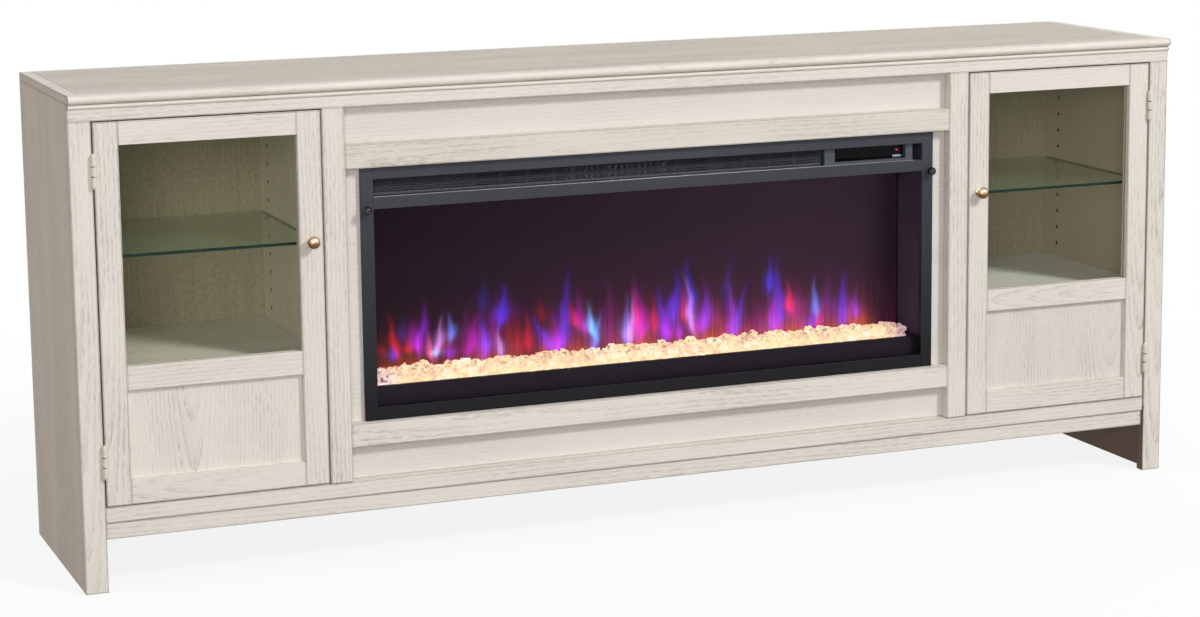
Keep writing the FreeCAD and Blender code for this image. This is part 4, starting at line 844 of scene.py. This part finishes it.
def flame_at(x, z):
    """The light of all the tongues at a point of the screen, with the glow at their roots."""
    x += 1.8 * math.sin(z / 15 + x / 27) + 0.8 * math.sin(z / 6.5 - x / 11)     # the draught
    layers = []
    for colour, tongues in FLAMES.items():
        hue, strength, half = FLAME_COLOURS[colour]
        layers.append((hue, strength * sum(tongue_at(x, z, half, *tongue) for tongue in tongues)))
    # the glow and the haze die away above the crystals, and the ends of the screen are darker
    above = max(z - 305, 0)
    uneven = 0.6 + 0.25 * math.sin(x / 23.0 + 1.3) + 0.15 * math.sin(x / 9.7)
    ends = clamp((x + 515) / 60) * clamp((490 - x) / 60)
    ember = (1.2 + x / 1200) * uneven * ends * math.exp(-above / 24.0)
    crowd = clamp((x + 520) / 420, 0.12) * clamp((500 - x) / 120, 0.35)
    haze = 0.34 * crowd * math.exp(-above / 52.0)
    across = clamp((x + 520) / 800, 0.1)
    right_end = clamp((519 - x) / 75)
    far_haze = (0.085 + 0.20 * across) * (0.4 + 0.6 * right_end * right_end * (3 - 2 * right_end))
    layers += [("#b4521a", ember), ("#9a1264", haze), ("#624c60", far_haze)]
    light = [0.0, 0.0, 0.0]
    for hue, amount in layers:
        light = [base + amount * channel for base, channel in zip(light, linear(hue))]
    return light


def paint_flames(glow):
    """The flame picture: a film on the front of the screen, painted with the light it shows."""
    (left, front, _), (right, _, head) = millimetres("flame_screen")
    margin, clear, foot = 1, 0.3, 262
    width, height = right - left - 2 * margin, head - margin - foot
    film = begin(bpy.ops.mesh.primitive_grid_add, x_subdivisions=346, y_subdivisions=86, size=1)
    bpy.ops.transform.resize(value=(width * MM, height * MM, 1))
    bpy.ops.transform.rotate(value=-math.pi / 2, orient_axis="X", center_override=(0, 0, 0))
    bpy.ops.transform.translate(value=(0, (front - clear) * MM, (foot + height / 2) * MM))
    bpy.ops.object.mode_set(mode="OBJECT")
    paint = film.data.attributes.new("flame_paint", "FLOAT_COLOR", "POINT")
    for vertex, dab in zip(film.data.vertices, paint.data):
        dab.color = (*flame_at(vertex.co.x / MM, vertex.co.z / MM), 1.0)
    settle(film, "flame_picture", "cabinet", glow)


# Light and view

def lamp(name, place, aim, power, width):
    data = bpy.data.lights.new(name, "AREA")
    data.energy = power
    data.shape = "DISK"
    data.size = width
    light = bpy.data.objects.new(name, data)
    light.location = place
    light.rotation_euler = (Vector(aim) - Vector(place)).to_track_quat("-Z", "Y").to_euler()
    bpy.context.collection.objects.link(light)


def seen_plainly(tree):
    """1 for rays from the camera, from gloss and through glass, and 0 for light on the object."""
    path = add(tree, "LightPath").outputs
    first = add(tree, "Math", {0: path["Is Camera Ray"], 1: path["Is Glossy Ray"]}, operation="MAXIMUM")
    return add(tree, "Math", {0: first, 1: path["Is Transmission Ray"]}, operation="MAXIMUM")


def white_paper(name):
    """Paper that looks white to the camera but for a soft shadow near the stand, and that throws
    less light than white on the object."""
    material, tree, coords = start_material(name)
    seen = seen_plainly(tree)
    tone = add(tree, "Mix", {0: seen, 6: "#9c9a97", 7: "#ffffff"}, data_type="RGBA")
    matte = add(tree, "BsdfDiffuse", {"Color": tone})
    white = add(tree, "Emission", {"Color": "#ffffff", "Strength": 1.0})
    away = add(tree, "VectorMath", {0: coords}, operation="LENGTH")
    near = add(tree, "MapRange", {0: away, 1: 1.0, 2: 2.2, 3: 0.86, 4: 1.0})
    share = add(tree, "Math", {0: seen, 1: near}, operation="MULTIPLY")
    return finish_material(material, add(tree, "MixShader", {0: share, 1: matte, 2: white}))


def lay_the_floor():
    bpy.ops.mesh.primitive_plane_add(size=40, location=(0, 0, -0.5 * MM))
    floor = bpy.context.object
    floor.name = "studio_floor"
    floor.data.materials.append(white_paper("white_paper"))


def light_the_room():
    """A white studio: a sky that is dimmer for the object than for the camera, and two softboxes."""
    scene = bpy.context.scene
    scene.view_settings.view_transform = "Standard"
    world = bpy.data.worlds.new("white_studio")
    scene.world = world
    world.use_nodes = True
    tree = world.node_tree
    tree.nodes.clear()
    # the wall behind the stand is brighter, so that the back isn't lost in the dark
    way = add(tree, "SeparateXYZ", {0: add(tree, "TexCoord").outputs["Generated"]}).outputs["Y"]
    level = add(tree, "MapRange", {0: way, 1: 0.4, 2: 1.0, 3: 0.40, 4: 0.95})
    fill = add(tree, "Background", {"Color": "#fbf9f6", "Strength": level})
    white = add(tree, "Background", {"Color": "#ffffff", "Strength": 1.0})
    sky = add(tree, "MixShader", {0: seen_plainly(tree), 1: fill, 2: white})
    add(tree, "OutputWorld", {"Surface": sky})
    middle = (0, -0.1, 0.45)
    lamp("key_softbox", (4.4, -7.2, 6.6), middle, 560, 2.0)
    lamp("front_softbox", (-3.3, -7.2, 2.0), middle, 170, 3.0)


def place_camera():
    """The camera of the photo, as fitted to its points."""
    place, heading, dip, roll = (-1.8568, -4.5560, 1.3044), -21.773, -9.084, 0.630
    data = bpy.data.cameras.new("photo_camera")
    data.sensor_width = 36
    data.lens = 83.673
    data.shift_y = -0.0737
    data.clip_end = 100
    camera = bpy.data.objects.new("photo_camera", data)
    turn = Matrix.Identity(4)
    for angle, axis in ((heading, "Z"), (dip, "X"), (roll, "Y"), (90, "X")):
        turn = turn @ Matrix.Rotation(math.radians(angle), 4, axis)
    camera.matrix_world = Matrix.Translation(place) @ turn
    bpy.context.collection.objects.link(camera)
    bpy.context.scene.camera = camera


dress_cabinet()
dress_fire()
turn_knobs()
line_pin_holes(moulded_plastic("sleeve_nylon", "#15110c", 0.6))
dress_the_back(moulded_plastic("grommet_abs", "#1c1b1a", 0.4),
               cast_metal("zinc_screws", "#c4c4c0", "#9a9a98", 2.0, 0.3))
# painted shade in the vent's recess: the plates are darkened, and the mesh goes near black at its top, under
# the frame's top bar
fit_the_vent(powder_coat("vent_powder_coat", "#060608"),
             powder_coat("mesh_powder_coat", "#5c5f68", fade=(0.630, 0.652, "#101114")),
             powder_coat("teeth_powder_coat", "#85878f"),
             cast_metal("bright_aluminium", "#a8aab2", "#94969e", 20.0, 0.3, (0.05, 1.0, 1.0)))
fit_the_controls(moulded_plastic("window_gloss_acrylic", "#050506", 0.06, specular=0.1),
                 moulded_plastic("label_vinyl", "#94a2b2", 0.4),
                 moulded_plastic("lit_red_lens", "#8a2028", 0.2, "#d8363c", 0.5))
heap_crystals(cast_acrylic("cast_acrylic"))
paint_flames(flame_light("flame_film"))
lay_the_floor()
light_the_room()
place_camera()
